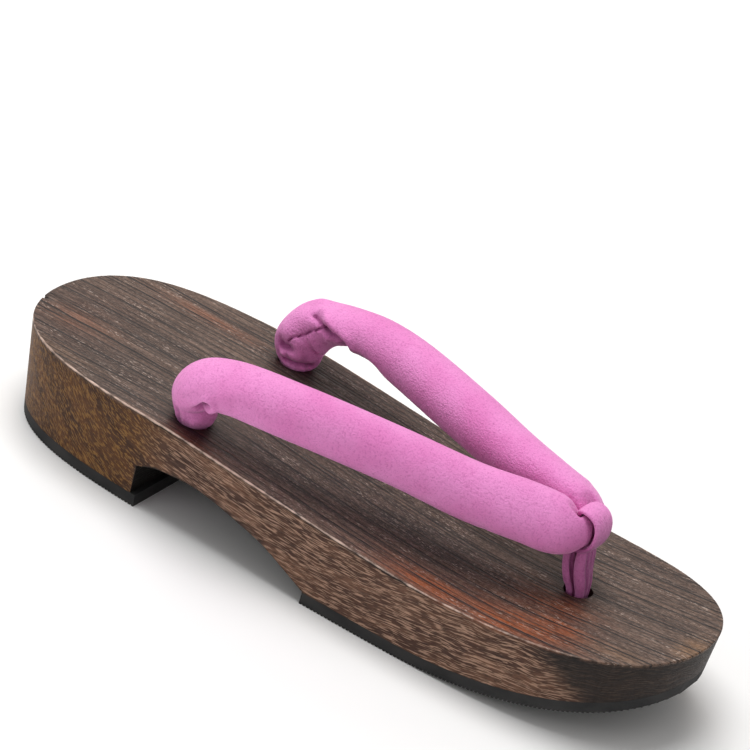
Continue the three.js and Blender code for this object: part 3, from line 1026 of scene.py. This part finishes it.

# %% [markdown]
# ## Folds placed one by one
#
# A fold is a soft trough between two spots on the cloth, each given by its distance along the
# arm and its angle around it. Its `lip` is a low ridge on the side towards the front, where the
# stuffed tube leans over the trough. The left and right arms were sewn by hand and differ.

# %% Table of folds
FOLDS = {
    LEFT: [
        {"a": (30.5, 118), "b": (33.0, 160), "deep": 0.4, "wide": 1.8, "lip": 0.3},
        {"a": (33.0, 160), "b": (37.5, 197), "deep": 1.3, "wide": 1.5, "lip": 0.8},
        {"a": (37.5, 197), "b": (45.5, 222), "deep": 2.2, "wide": 1.7, "lip": 0.9},
        {"a": (45.5, 222), "b": (44.0, 262), "deep": 2.2, "wide": 2.0, "lip": 0.3},
        {"a": (37.5, 197), "b": (21.0, 202), "deep": 0.3, "wide": 1.6, "lip": 0.0},
        {"a": (47.5, 238), "b": (57.0, 252), "deep": 1.4, "wide": 4.0, "lip": 0.0},
        {"a": (19.8, 168), "b": (19.4, 208), "deep": 2.6, "wide": 1.0, "lip": 0.0},
        {"a": (15.4, 166), "b": (14.8, 262), "deep": 2.2, "wide": 0.8, "lip": 0.0},
        {"a": (15.4, 198), "b": (17.6, 184), "deep": 1.1, "wide": 0.7, "lip": 0.0},
        {"a": (15.0, 226), "b": (17.0, 238), "deep": 0.9, "wide": 0.8, "lip": 0.0},
        {"a": (20.0, 158), "b": (14.0, 152), "deep": 0.8, "wide": 1.2, "lip": 0.0},
    ],
    RIGHT: [
        {"a": (30.0, 322), "b": (35.5, 347), "deep": 2.5, "wide": 1.3, "lip": 0.9},
        {"a": (35.5, 347), "b": (39.0, 360), "deep": 0.5, "wide": 1.6, "lip": 0.4},
        {"a": (30.0, 322), "b": (33.0, 270), "deep": 2.4, "wide": 1.8, "lip": 0.3},
        {"a": (19.0, 352), "b": (14.0, 358), "deep": 0.5, "wide": 1.2, "lip": 0.0},
        {"a": (20.0, 32), "b": (14.0, 20), "deep": 1.2, "wide": 1.1, "lip": 0.0},
        {"a": (19.0, 62), "b": (14.0, 48), "deep": 1.4, "wide": 1.1, "lip": 0.0},
        {"a": (27.0, 200), "b": (18.0, 208), "deep": 1.0, "wide": 1.3, "lip": 0.0},
        {"a": (36.0, 196), "b": (43.0, 226), "deep": 1.6, "wide": 1.6, "lip": 0.5},
    ],
}
BULGES = {
    LEFT: [
        {"at": (29.0, 262), "high": 3.4, "wide": 6.5},
        {"at": (20.0, 276), "high": 2.0, "wide": 6.0},
        {"at": (31.0, 98), "high": 0.6, "wide": 3.0},
        {"at": (140.5, 62), "high": 1.6, "wide": 5.0},
        {"at": (40.0, 108), "high": -2.0, "wide": 9.0},
    ],
    RIGHT: [
        {"at": (24.0, 300), "high": 0.5, "wide": 5.0},
    ],
}
SHADES = {
    LEFT: [],
    RIGHT: [{"at": (22.0, 322), "much": 0.6, "wide": 4.5}],
}
GATHERS = {"count": 9, "deep": 0.25, "from": 11.0, "to": 17.0}


def cloth_distance(arm, fold):
    """Distance over the cloth from a fold's line, the share along it, and the side of it."""
    around = (arm.around - fold["a"][1] + 180) % 360 - 180
    to_x = fold["b"][0] - fold["a"][0]
    to_y = np.radians((fold["b"][1] - fold["a"][1] + 180) % 360 - 180) * arm.radius
    x = arm.along - fold["a"][0]
    y = np.radians(around) * arm.radius
    share = (x * to_x + y * to_y) / (to_x**2 + to_y**2)
    held = np.clip(share, 0, 1)
    away = np.hypot(x - held * to_x, y - held * to_y)
    ahead = np.sign(x - held * to_x)
    return away, share, ahead


def folded(arm, side):
    """How far each point of the cloth moves out, in mm. Folds move it in."""
    move = np.zeros(arm.along.shape)
    pinch = np.zeros(arm.along.shape)
    for fold in FOLDS[side]:
        away, share, ahead = cloth_distance(arm, fold)
        trough = np.exp(-((away / fold["wide"]) ** 2))
        ridge = np.exp(-(((away - 2.2 * fold["wide"]) / fold["wide"]) ** 2)) * (ahead > 0)
        move += fold["lip"] * ridge
        pinch = np.maximum(pinch, fold["deep"] * trough)
    for bulge in BULGES[side]:
        away, _, _ = cloth_distance(arm, {"a": bulge["at"], "b": (bulge["at"][0] + 0.1, bulge["at"][1])})
        move += bulge["high"] * np.exp(-((away / bulge["wide"]) ** 2))
    near_hole = ramp(arm.along, GATHERS["from"], GATHERS["from"] + 2) * ramp(arm.along, GATHERS["to"], 14)
    ripple = np.cos(np.radians(arm.around) * GATHERS["count"] + 1.5 * np.sin(np.radians(arm.around) * 3))
    move += GATHERS["deep"] * near_hole * ripple
    return move - pinch, pinch


print("deepest fold:", max(f["deep"] for folds in FOLDS.values() for f in folds), "mm")

# %% [markdown]
# Where the arms meet at the front, each is kept on its own side of the middle, so a crisp
# valley stays between them, and both are squeezed to pass through the loop's band.

# %% Arms as meshes
MIDDLE_GAP = 0.06
BAND = {"x": 72.2, "z": 46.9, "wide": 6.4, "high": 7.2, "across": 9.6, "wall": 1.9, "square": 2.3,
        "back": 2.3, "slack": 0.4}
# The squeeze into the band fades in along x, and from outside the band's edges.
SQUEEZE = {"start": 66.5, "full": 69.0, "outside": 1.4, "full_outside": 0.3}


def kept_in_place(points):
    """Keeps left-arm points on their side of the middle, and inside the band where it is."""
    x, y, z = points.T
    soft = 0.5
    inner = MIDDLE_GAP + soft * np.logaddexp(0, (y - MIDDLE_GAP) / soft)
    y = np.where(y < 3, inner, y)
    room_x = BAND["wide"] - BAND["wall"] - BAND["slack"] - BAND["back"] * (x < BAND["x"])
    in_x = np.abs(x - BAND["x"]) / room_x
    in_z = np.abs(z - BAND["z"]) / (BAND["high"] - BAND["wall"] - BAND["slack"])
    reach = (in_x ** BAND["square"] + in_z ** BAND["square"]) ** (1 / BAND["square"])
    edge = BAND["across"] / 2
    under_band = ramp(y, edge + SQUEEZE["outside"], edge + SQUEEZE["full_outside"])
    under_band *= ramp(x, SQUEEZE["start"], SQUEEZE["full"])
    pull = 1 + (1 / np.maximum(reach, 1) - 1) * under_band
    return np.stack([BAND["x"] + (x - BAND["x"]) * pull, y, BAND["z"] + (z - BAND["z"]) * pull], axis=1)


def arm_mesh(side):
    arm = Arm(ARM_ROWS, ARM_SIDES)
    move, pinch = folded(arm, side)
    points = (arm.points + arm.out * move[..., None]).reshape(-1, 3)
    points = kept_in_place(points) * (1, side, 1)
    faces = grid_faces(ARM_ROWS, ARM_SIDES, closed=True)
    last = (ARM_ROWS - 1) * ARM_SIDES
    faces += [tuple(range(ARM_SIDES)), tuple(range(last, last + ARM_SIDES))]
    mesh = bpy.data.meshes.new("arm")
    mesh.from_pydata([tuple(p) for p in points * MM], [], faces)
    turn = np.radians(arm.around).ravel()
    paint(mesh, "along", arm.along.ravel())
    paint(mesh, "turn_cos", np.cos(turn))
    paint(mesh, "turn_sin", np.sin(turn))
    paint(mesh, "radius", arm.radius.ravel())
    held = np.clip(pinch.ravel() / 0.8, 0, 1)
    ends = np.maximum(ramp(arm.along, 15, 12), ramp(arm.along, ARM_LENGTH - 16, ARM_LENGTH - 9)).ravel()
    paint(mesh, "held", np.maximum(held, ends))
    flip = bmesh.new()
    flip.from_mesh(mesh)
    bmesh.ops.recalc_face_normals(flip, faces=flip.faces)
    flip.to_mesh(mesh)
    flip.free()
    piece = bpy.data.objects.new("arm", mesh)
    bpy.context.scene.collection.objects.link(piece)
    return piece


# %% [markdown]
# ## Swelling the wadding
#
# Blender's cloth is tuned for things the size of a cushion, so each arm is made twenty times
# larger, simulated with air pressure and no gravity, and made small again. The folds and both
# ends are pinned, and no point may move further than the wadding would push it.

# %% Cloth simulation
SIM_SCALE = 20.0
SIM_FRAMES = 20
PRESSURE = 9.0
MOST_MOVE = 1.0


def read_value(mesh, name):
    values = np.zeros(len(mesh.vertices), np.float32)
    mesh.attributes[name].data.foreach_get("value", values)
    return values.astype(float)


def swell(piece):
    mesh = piece.data
    start = points_of(mesh)
    mesh.transform(Matrix.Scale(SIM_SCALE, 4))
    pins = piece.vertex_groups.new(name="held")
    for i, weight in enumerate(read_value(mesh, "held")):
        pins.add([i], float(weight), "REPLACE")
    cloth = piece.modifiers.new("cloth", "CLOTH")
    settings = cloth.settings
    settings.quality = 6
    settings.mass = 0.3
    settings.tension_stiffness = 15
    settings.compression_stiffness = 15
    settings.shear_stiffness = 8
    settings.bending_stiffness = 0.6
    settings.vertex_group_mass = "held"
    settings.use_pressure = True
    settings.uniform_pressure_force = PRESSURE
    settings.effector_weights.gravity = 0
    cloth.collision_settings.use_collision = False
    cloth.point_cache.frame_start = 1
    cloth.point_cache.frame_end = SIM_FRAMES
    for frame_number in range(1, SIM_FRAMES + 1):
        bpy.context.scene.frame_set(frame_number)
    baked(piece)
    bpy.context.scene.frame_set(1)
    piece.data.transform(Matrix.Scale(1 / SIM_SCALE, 4))
    moved = points_of(piece.data) - start
    far = np.linalg.norm(moved, axis=1, keepdims=True)
    moved *= np.minimum(1, MOST_MOVE / np.maximum(far, 1e-6))
    piece.data.vertices.foreach_set("co", ((start + moved) * MM).ravel())
    piece.data.update()
    print("swelled by", round(float(np.median(far)), 2), "mm, at most", round(float(far.max()), 2), "mm")


# %% [markdown]
# ## Seams
#
# Each arm is a tube of cloth closed along its underside, and its end is closed with a hand-sewn
# seam over the elbow's inner face. A seam is a narrow groove with small puckers beside it, at
# the stitch spacing. It is finer than the folds, so it is pressed in after the simulation and
# the subdivision.

# %% Seam table and grooves
STITCH_SPACING = 2.6
STITCH_LENGTH = 1.7
STITCH_THICK = 0.34
STITCH_SLANT = 24
SEAMS = {
    LEFT: [
        {"a": (37.5, 197), "b": (30.0, 207), "deep": 0.7, "wide": 0.45, "pucker": 0.25},
        {"a": (30.0, 207), "b": (21.0, 202), "deep": 0.7, "wide": 0.45, "pucker": 0.3},
        {"a": (46.0, 262), "b": (138.0, 266), "deep": 0.4, "wide": 0.45, "pucker": 0.0},
        {"a": (32.5, 158), "b": (37.5, 197), "deep": 0.9, "wide": 0.6, "pucker": 0.0},
        {"a": (37.5, 197), "b": (45.5, 222), "deep": 1.3, "wide": 0.7, "pucker": 0.0},
        {"a": (19.8, 170), "b": (19.4, 206), "deep": 0.7, "wide": 0.5, "pucker": 0.0},
        {"a": (15.4, 168), "b": (14.8, 260), "deep": 0.6, "wide": 0.5, "pucker": 0.0},
    ],
    RIGHT: [
        {"a": (36.0, 200), "b": (21.0, 204), "deep": 0.7, "wide": 0.45, "pucker": 0.3},
        {"a": (46.0, 262), "b": (138.0, 266), "deep": 0.4, "wide": 0.45, "pucker": 0.0},
        {"a": (30.0, 322), "b": (35.5, 347), "deep": 1.0, "wide": 0.6, "pucker": 0.0},
        {"a": (19.0, 62), "b": (14.0, 48), "deep": 0.6, "wide": 0.5, "pucker": 0.0},
    ],
}


class Cloth:
    """The cloth coordinates of a finished arm's points, read back from its mesh."""

    def __init__(self, mesh):
        self.along = read_value(mesh, "along")
        turn = np.arctan2(read_value(mesh, "turn_sin"), read_value(mesh, "turn_cos"))
        self.around = np.degrees(turn) % 360
        self.radius = read_value(mesh, "radius")


def press_seams(piece, side):
    mesh = piece.data
    cloth = Cloth(mesh)
    normals = np.zeros(len(mesh.vertices) * 3, np.float32)
    mesh.vertex_normals.foreach_get("vector", normals)
    move = np.zeros(len(mesh.vertices))
    shade = np.zeros(len(mesh.vertices))
    for seam in SEAMS[side]:
        away, share, _ = cloth_distance(cloth, seam)
        run = np.hypot(seam["b"][0] - seam["a"][0], 6.0)
        pucker = 0.5 + 0.5 * np.cos(2 * np.pi * share * run / STITCH_SPACING)
        on_line = ramp(share, -0.01, 0.01) * ramp(share, 1.01, 0.99)
        groove = np.exp(-((away / seam["wide"]) ** 2))
        ease = np.exp(-((away / 2.0) ** 2))
        move -= on_line * (seam["deep"] * groove + seam["pucker"] * ease * pucker)
        shade = np.maximum(shade, on_line * groove)
    points = points_of(mesh) + normals.reshape(-1, 3) * move[:, None]
    mesh.vertices.foreach_set("co", (points * MM).ravel())
    mesh.update()
    return shade


def paint_fold_shade(piece, side, seam_shade):
    """Paints shade into the cloth's colour: in the folds and seams, in the listed shaded spots, and along
    the band's edge.
    """
    cloth = Cloth(piece.data)
    _, pinch = folded(cloth, side)
    shade = np.maximum(pinch / 2.2, 0.8 * seam_shade)
    for row in SHADES[side]:
        away, _, _ = cloth_distance(cloth, {"a": row["at"], "b": (row["at"][0] + 0.1, row["at"][1])})
        shade = np.maximum(shade, row["much"] * np.exp(-((away / row["wide"]) ** 2)))
    x, y, _ = points_of(piece.data).T
    edge = BAND["across"] / 2
    # Painted shade: a dark line where the arms meet the band's edges.
    by_band = 0.5 * ramp(np.abs(y), edge + 0.3, edge - 0.2) * ramp(x, 68.0, 69.0)
    paint(piece.data, "fold", np.clip(np.maximum(shade, by_band), 0, 1))


def build_arm(side):
    piece = arm_mesh(side)
    swell(piece)
    points = points_of(piece.data) * (1, side, 1)
    points = kept_in_place(points) * (1, side, 1)
    piece.data.vertices.foreach_set("co", (points * MM).ravel())
    rounding = piece.modifiers.new("rounding", "SUBSURF")
    rounding.levels = 1
    rounding.render_levels = 1
    baked(piece)
    paint_fold_shade(piece, side, press_seams(piece, side))
    smooth_shaded(piece.data)
    return piece


arms = {side: build_arm(side) for side in (LEFT, RIGHT)}
print("faces on each arm:", [len(piece.data.polygons) for piece in arms.values()])

# %% [markdown]
# ## Crepe
#
# The cloth is a matt rayon crepe, woven from hard-twisted yarn that shrinks into a fine pebble.
# Close up that is a grain of about half a millimetre that breaks up the light, and from the
# side the short fibres give a pale sheen along every outline. It is nearly even in colour, and
# darker where shade is painted: in the folds, seams and pleats, beside the band, low on the band
# and on the runs.

# %% Material of the cloth
CREPE_GRAIN = 0.5


def pink_crepe():
    """Crepe: matt, pebbled, with a pale sheen from its fibres."""
    values = {"Roughness": 0.9, "Specular IOR Level": 0.2, "Sheen Weight": 0.35, "Sheen Roughness": 0.45}
    material, tree, shader = new_material("pink_crepe", {**values, "Sheen Tint": linear("ffe4fb")})
    place = add(tree, "ShaderNodeTexCoord").outputs["Object"]
    grain = grain_noise(tree, place, (CREPE_GRAIN,) * 3, 2.0, 0.6)
    coarse = stretched(tree, place, *(CREPE_GRAIN * 1.6,) * 3)
    cells = add(tree, "ShaderNodeTexVoronoi", {"Vector": coarse, "Scale": 1.0})
    pebble = maths(tree, "SUBTRACT", grain, maths(tree, "MULTIPLY", cells.outputs["Distance"], 0.35))
    cloud = spread(tree, grain_noise(tree, place, (16, 16, 16), 3.0), 0.3, 0.7)
    colour = mix(tree, cloud, linear("e584c5"), linear("ee95d3"))
    colour = mix(tree, spread(tree, pebble, 0.05, 0.36, 0.4, 0.0), colour, linear("b9559b"))
    # Painted shade in folds, seams and pleats, beside the band, low on the band and on the runs.
    colour = mix(tree, maths(tree, "MULTIPLY", painted(tree, "fold"), 0.7), colour, linear("83306d"))
    tree.links.new(colour, shader.inputs["Base Color"])
    bump = add(tree, "ShaderNodeBump", {"Height": pebble, "Distance": 0.34 * MM, "Strength": 1.0})
    tree.links.new(bump.outputs[0], shader.inputs["Normal"])
    return material


CREPE = pink_crepe()

# %% [markdown]
# ## Stitches
#
# The hand-sewn seams are closed with dark magenta thread, in short slanting
# stitches. They repeat along the seams, so Geometry Nodes lay them: the seam's line on the
# finished cloth is resampled at the stitch spacing, and one short bent length of thread is set
# on each point, turned along the seam and slanted a little at random from a fixed seed.

# %% Geometry Nodes for stitches
def stitch_tree():
    tree, given = new_tree("hand_stitches", ["Spacing", "Length", "Thickness", "Slant"])
    line = add(tree, "GeometryNodeMeshToCurve", {"Mesh": given["Geometry"]})
    spaced = {"Curve": line.outputs[0], "Length": given["Spacing"]}
    even = add(tree, "GeometryNodeResampleCurve", spaced, mode="LENGTH")
    half = maths(tree, "MULTIPLY", given["Length"], 0.5)
    start = add(tree, "ShaderNodeCombineXYZ", {0: maths(tree, "MULTIPLY", half, -1.0)})
    top = add(tree, "ShaderNodeCombineXYZ", {2: given["Thickness"]})
    end = add(tree, "ShaderNodeCombineXYZ", {0: half})
    ends = {"Start": start.outputs[0], "Middle": top.outputs[0], "End": end.outputs[0], "Resolution": 6}
    bow = add(tree, "GeometryNodeCurveQuadraticBezier", ends)
    circle = {"Resolution": 8, "Radius": maths(tree, "MULTIPLY", given["Thickness"], 0.5)}
    round_thread = add(tree, "GeometryNodeCurvePrimitiveCircle", circle)
    solid = {0: bow.outputs[0], 1: round_thread.outputs[0], "Fill Caps": True}
    thread = add(tree, "GeometryNodeCurveToMesh", solid)
    way = add(tree, "GeometryNodeInputTangent")
    out = add(tree, "GeometryNodeInputNamedAttribute", {"Name": "out"}, data_type="FLOAT_VECTOR")
    facing = {"Vector": way.outputs[0]}
    along = add(tree, "FunctionNodeAlignRotationToVector", facing, axis="X", pivot_axis="AUTO")
    names = {"Rotation": along.outputs[0], "Vector": out.outputs[0]}
    upright = add(tree, "FunctionNodeAlignRotationToVector", names, axis="Z", pivot_axis="X")
    low = maths(tree, "MULTIPLY", given["Slant"], 0.4)
    slants = {"Min": low, "Max": given["Slant"], "Seed": SEED}
    lean = add(tree, "FunctionNodeRandomValue", slants, data_type="FLOAT")
    slant = add(tree, "FunctionNodeAxisAngleToRotation", {"Axis": (0, 0, 1), "Angle": lean.outputs["Value"]})
    leant = {0: upright.outputs[0], 1: slant.outputs[0]}
    turn = add(tree, "FunctionNodeRotateRotation", leant, rotation_space="LOCAL")
    placed = {"Points": even.outputs[0], "Instance": thread.outputs[0], "Rotation": turn.outputs[0]}
    stitches = add(tree, "GeometryNodeInstanceOnPoints", placed)
    return finish_tree(tree, stitches.outputs[0], given["Material"])


def twisted_thread():
    """Sewing thread: polyester, twisted, a dark magenta, with a slight gloss."""
    material, tree, shader = new_material("twisted_thread", {"Roughness": 0.6, "Specular IOR Level": 0.35})
    place = add(tree, "ShaderNodeTexCoord").outputs["Object"]
    twist = grain_noise(tree, place, (0.3, 0.3, 0.3), 1.0)
    tree.links.new(mix(tree, twist, linear("6d1f55"), linear("93407a")), shader.inputs["Base Color"])
    return material


def seam_line(piece, seam):
    """A polyline on the cloth along a seam, with the cloth's outward way on its points."""
    cloth = Cloth(piece.data)
    normals = np.zeros(len(piece.data.vertices) * 3, np.float32)
    piece.data.vertex_normals.foreach_get("vector", normals)
    normals = normals.reshape(-1, 3)
    points = points_of(piece.data)
    line, outs = [], []
    for share in np.linspace(0.04, 0.96, 60):
        along = seam["a"][0] + share * (seam["b"][0] - seam["a"][0])
        around = seam["a"][1] + share * (seam["b"][1] - seam["a"][1])
        turn = np.radians((cloth.around - around + 180) % 360 - 180) * cloth.radius
        near = np.hypot(cloth.along - along, turn)
        weight = np.exp(-((near / 0.6) ** 2)) + 1e-12
        out = unit((normals * weight[:, None]).sum(0))
        line.append((points * weight[:, None]).sum(0) / weight.sum() + 0.1 * out)
        outs.append(out)
    mesh = bpy.data.meshes.new("seam_line")
    mesh.from_pydata([tuple(p) for p in np.array(line) * MM], [(i, i + 1) for i in range(len(line) - 1)], [])
    layer = mesh.attributes.new("out", "FLOAT_VECTOR", "POINT")
    layer.data.foreach_set("vector", np.array(outs, np.float32).ravel())
    result = bpy.data.objects.new("seam_line", mesh)
    bpy.context.scene.collection.objects.link(result)
    return result


THREAD = twisted_thread()
STITCHES = stitch_tree()


def sew():
    sizes = {"Spacing": STITCH_SPACING * MM, "Length": STITCH_LENGTH * MM, "Thickness": STITCH_THICK * MM}
    sizes.update({"Slant": math.radians(STITCH_SLANT), "Material": THREAD})
    rows = []
    for side, piece in arms.items():
        for seam in SEAMS[side]:
            if seam["pucker"] > 0:
                rows.append(run_tree(seam_line(piece, seam), STITCHES, sizes))
    stitches = joined(rows, "stitches", THREAD)
    smooth_shaded(stitches.data, 50)
    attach(stitches, "root")
    return stitches


print("stitches have", len(sew().data.polygons), "faces")

# %% Join the arms
strap = joined([arms[LEFT], arms[RIGHT]], "padded_arms", CREPE)
smooth_shaded(strap.data)
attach(strap, "root")
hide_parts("strap")
print("padded arms have", len(strap.data.polygons), "faces")

# %% [markdown]
# ## The toe loop
#
# A strip of the same cloth holds the arms together and down. It goes round the place where
# they meet as a band, narrow where it is squeezed into the valley between the arms and wide
# over the front, and its two ends go down side by side through the front hole, folded double
# and thick. The band is a loft round a squared oval, and each run is a loft down a short line.
# Both have the cloth's thickness and pleats that grow where the strip is gathered.

# %% Band and runs
BAND_ROWS = 120
RUN_ROWS = 70
STRIP_SIDES = 40
STRIP_SQUARE = 3.0
BAND_NARROW = {"turn": 275, "spread": 52, "wide": 4.4}
PLEATS = [
    {"across": -0.5, "deep": 0.8, "wide": 0.17},
    {"across": 0.1, "deep": 1.0, "wide": 0.12},
    {"across": 0.62, "deep": 0.7, "wide": 0.16},
]
REAR_RUN = [
    {"x": 70.0, "z": 43.0, "wide": 5.6, "thick": 2.8, "pleat": 0.4},
    {"x": 69.9, "z": 39.0, "wide": 6.8, "thick": 3.6, "pleat": 0.7},
    {"x": 70.6, "z": 34.0, "wide": 7.0, "thick": 3.8, "pleat": 0.9},
    {"x": 72.2, "z": 29.5, "wide": 6.6, "thick": 3.6, "pleat": 0.9},
    {"x": 73.7, "z": 26.0, "wide": 4.8, "thick": 2.8, "pleat": 0.7},
    {"x": 74.0, "z": 17.0, "wide": 4.0, "thick": 2.6, "pleat": 0.3},
]
FRONT_RUN = [
    {"x": 74.4, "z": 43.0, "wide": 6.0, "thick": 3.0, "pleat": 0.4},
    {"x": 74.6, "z": 39.0, "wide": 7.4, "thick": 4.4, "pleat": 0.7},
    {"x": 75.3, "z": 34.0, "wide": 7.6, "thick": 4.6, "pleat": 0.9},
    {"x": 76.6, "z": 29.5, "wide": 7.2, "thick": 4.2, "pleat": 0.9},
    {"x": 77.3, "z": 26.0, "wide": 5.8, "thick": 3.3, "pleat": 0.7},
    {"x": 77.4, "z": 17.0, "wide": 4.0, "thick": 2.8, "pleat": 0.3},
]


def rounded(turn, power):
    return np.sign(turn) * np.abs(turn) ** (2 / power)


def strip_loft(name, place, wide, thick, pleat, drift, shade, closed):
    """A strip of cloth along a line in the middle plane, with pleats along its faces."""
    if closed:
        ahead = unit(np.roll(place, -1, axis=0) - np.roll(place, 1, axis=0))
    else:
        ahead = unit(np.gradient(place, axis=0))
    out = np.cross(ahead, np.array([0, 1, 0]))
    turn = np.linspace(0, 2 * np.pi, STRIP_SIDES, endpoint=False)
    across = rounded(np.cos(turn), STRIP_SQUARE)[None, :]
    up = rounded(np.sin(turn), STRIP_SQUARE)[None, :]
    fold = np.zeros((len(place), STRIP_SIDES))
    for row in PLEATS:
        trough = np.exp(-(((across + drift[:, None] - row["across"]) / row["wide"]) ** 2))
        fold = np.maximum(fold, row["deep"] * trough * pleat[:, None])
    height = thick[:, None] / 2 * up - np.sign(up) * fold * np.minimum(1, 2 * np.abs(up))
    points = place[:, None] + out[:, None] * height[..., None]
    points[..., 1] += wide[:, None] / 2 * across
    rows = len(place)
    faces = grid_faces(rows, STRIP_SIDES, closed=True)
    last = (rows - 1) * STRIP_SIDES
    if closed:
        for k in range(STRIP_SIDES):
            after = (k + 1) % STRIP_SIDES
            faces.append((last + k, last + after, after, k))
    else:
        faces += [tuple(range(STRIP_SIDES)), tuple(range(last, last + STRIP_SIDES))]
    piece = mesh_object(name, points.reshape(-1, 3) * MM, faces)
    # The pleats' troughs and the given shade are painted as shade.
    paint(piece.data, "fold", np.clip(fold + shade[:, None], 0, 1).ravel())
    return piece


def band_piece():
    turn = np.linspace(0, 2 * np.pi, BAND_ROWS, endpoint=False)
    half_z = BAND["high"] - BAND["wall"] / 2
    half_x = BAND["wide"] - BAND["wall"] / 2 - BAND["back"] * (np.sin(turn) < 0)
    x = BAND["x"] + half_x * rounded(np.sin(turn), BAND["square"])
    z = BAND["z"] + half_z * rounded(np.cos(turn), BAND["square"])
    off = (np.degrees(turn) - BAND_NARROW["turn"] + 180) % 360 - 180
    squeeze = np.exp(-((off / BAND_NARROW["spread"]) ** 2))
    wide = BAND["across"] + (BAND_NARROW["wide"] - BAND["across"]) * squeeze
    gathered = np.exp(-((((np.degrees(turn) - 180 + 180) % 360 - 180) / 40) ** 2))
    thick = BAND["wall"] + 0.5 * gathered
    place = np.stack([x, 0 * x, z], 1)
    drift = 0.1 * np.sin(2 * turn)
    # Painted shade, darker towards the band's bottom.
    shade = 0.9 * ramp(z, 50, 41)
    return strip_loft("band", place, wide, thick, 0.12 + 0.3 * gathered, drift, shade, closed=True)


def run_piece(rows, phase):
    line = smooth_rows(rows, RUN_ROWS)
    place = np.stack([line[:, 0], 0 * line[:, 0], line[:, 1]], 1)
    drift = 0.16 * np.sin(np.linspace(phase, phase + 4, RUN_ROWS))
    # Painted shade over the whole of each run.
    shade = np.full(RUN_ROWS, 0.5)
    return strip_loft("run", place, line[:, 2], line[:, 3], line[:, 4], drift, shade, closed=False)


def build_toe_loop():
    parts = [band_piece(), run_piece(REAR_RUN, 0.5), run_piece(FRONT_RUN, 2.0)]
    for part in parts:
        rounding = part.modifiers.new("rounding", "SUBSURF")
        rounding.levels = 1
        rounding.render_levels = 1
        baked(part)
    loop = joined(parts, "toe_strip", CREPE)
    smooth_shaded(loop.data)
    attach(loop, "root")
    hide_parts("toe_loop")
    return loop


print("toe strip has", len(build_toe_loop().data.polygons), "faces")
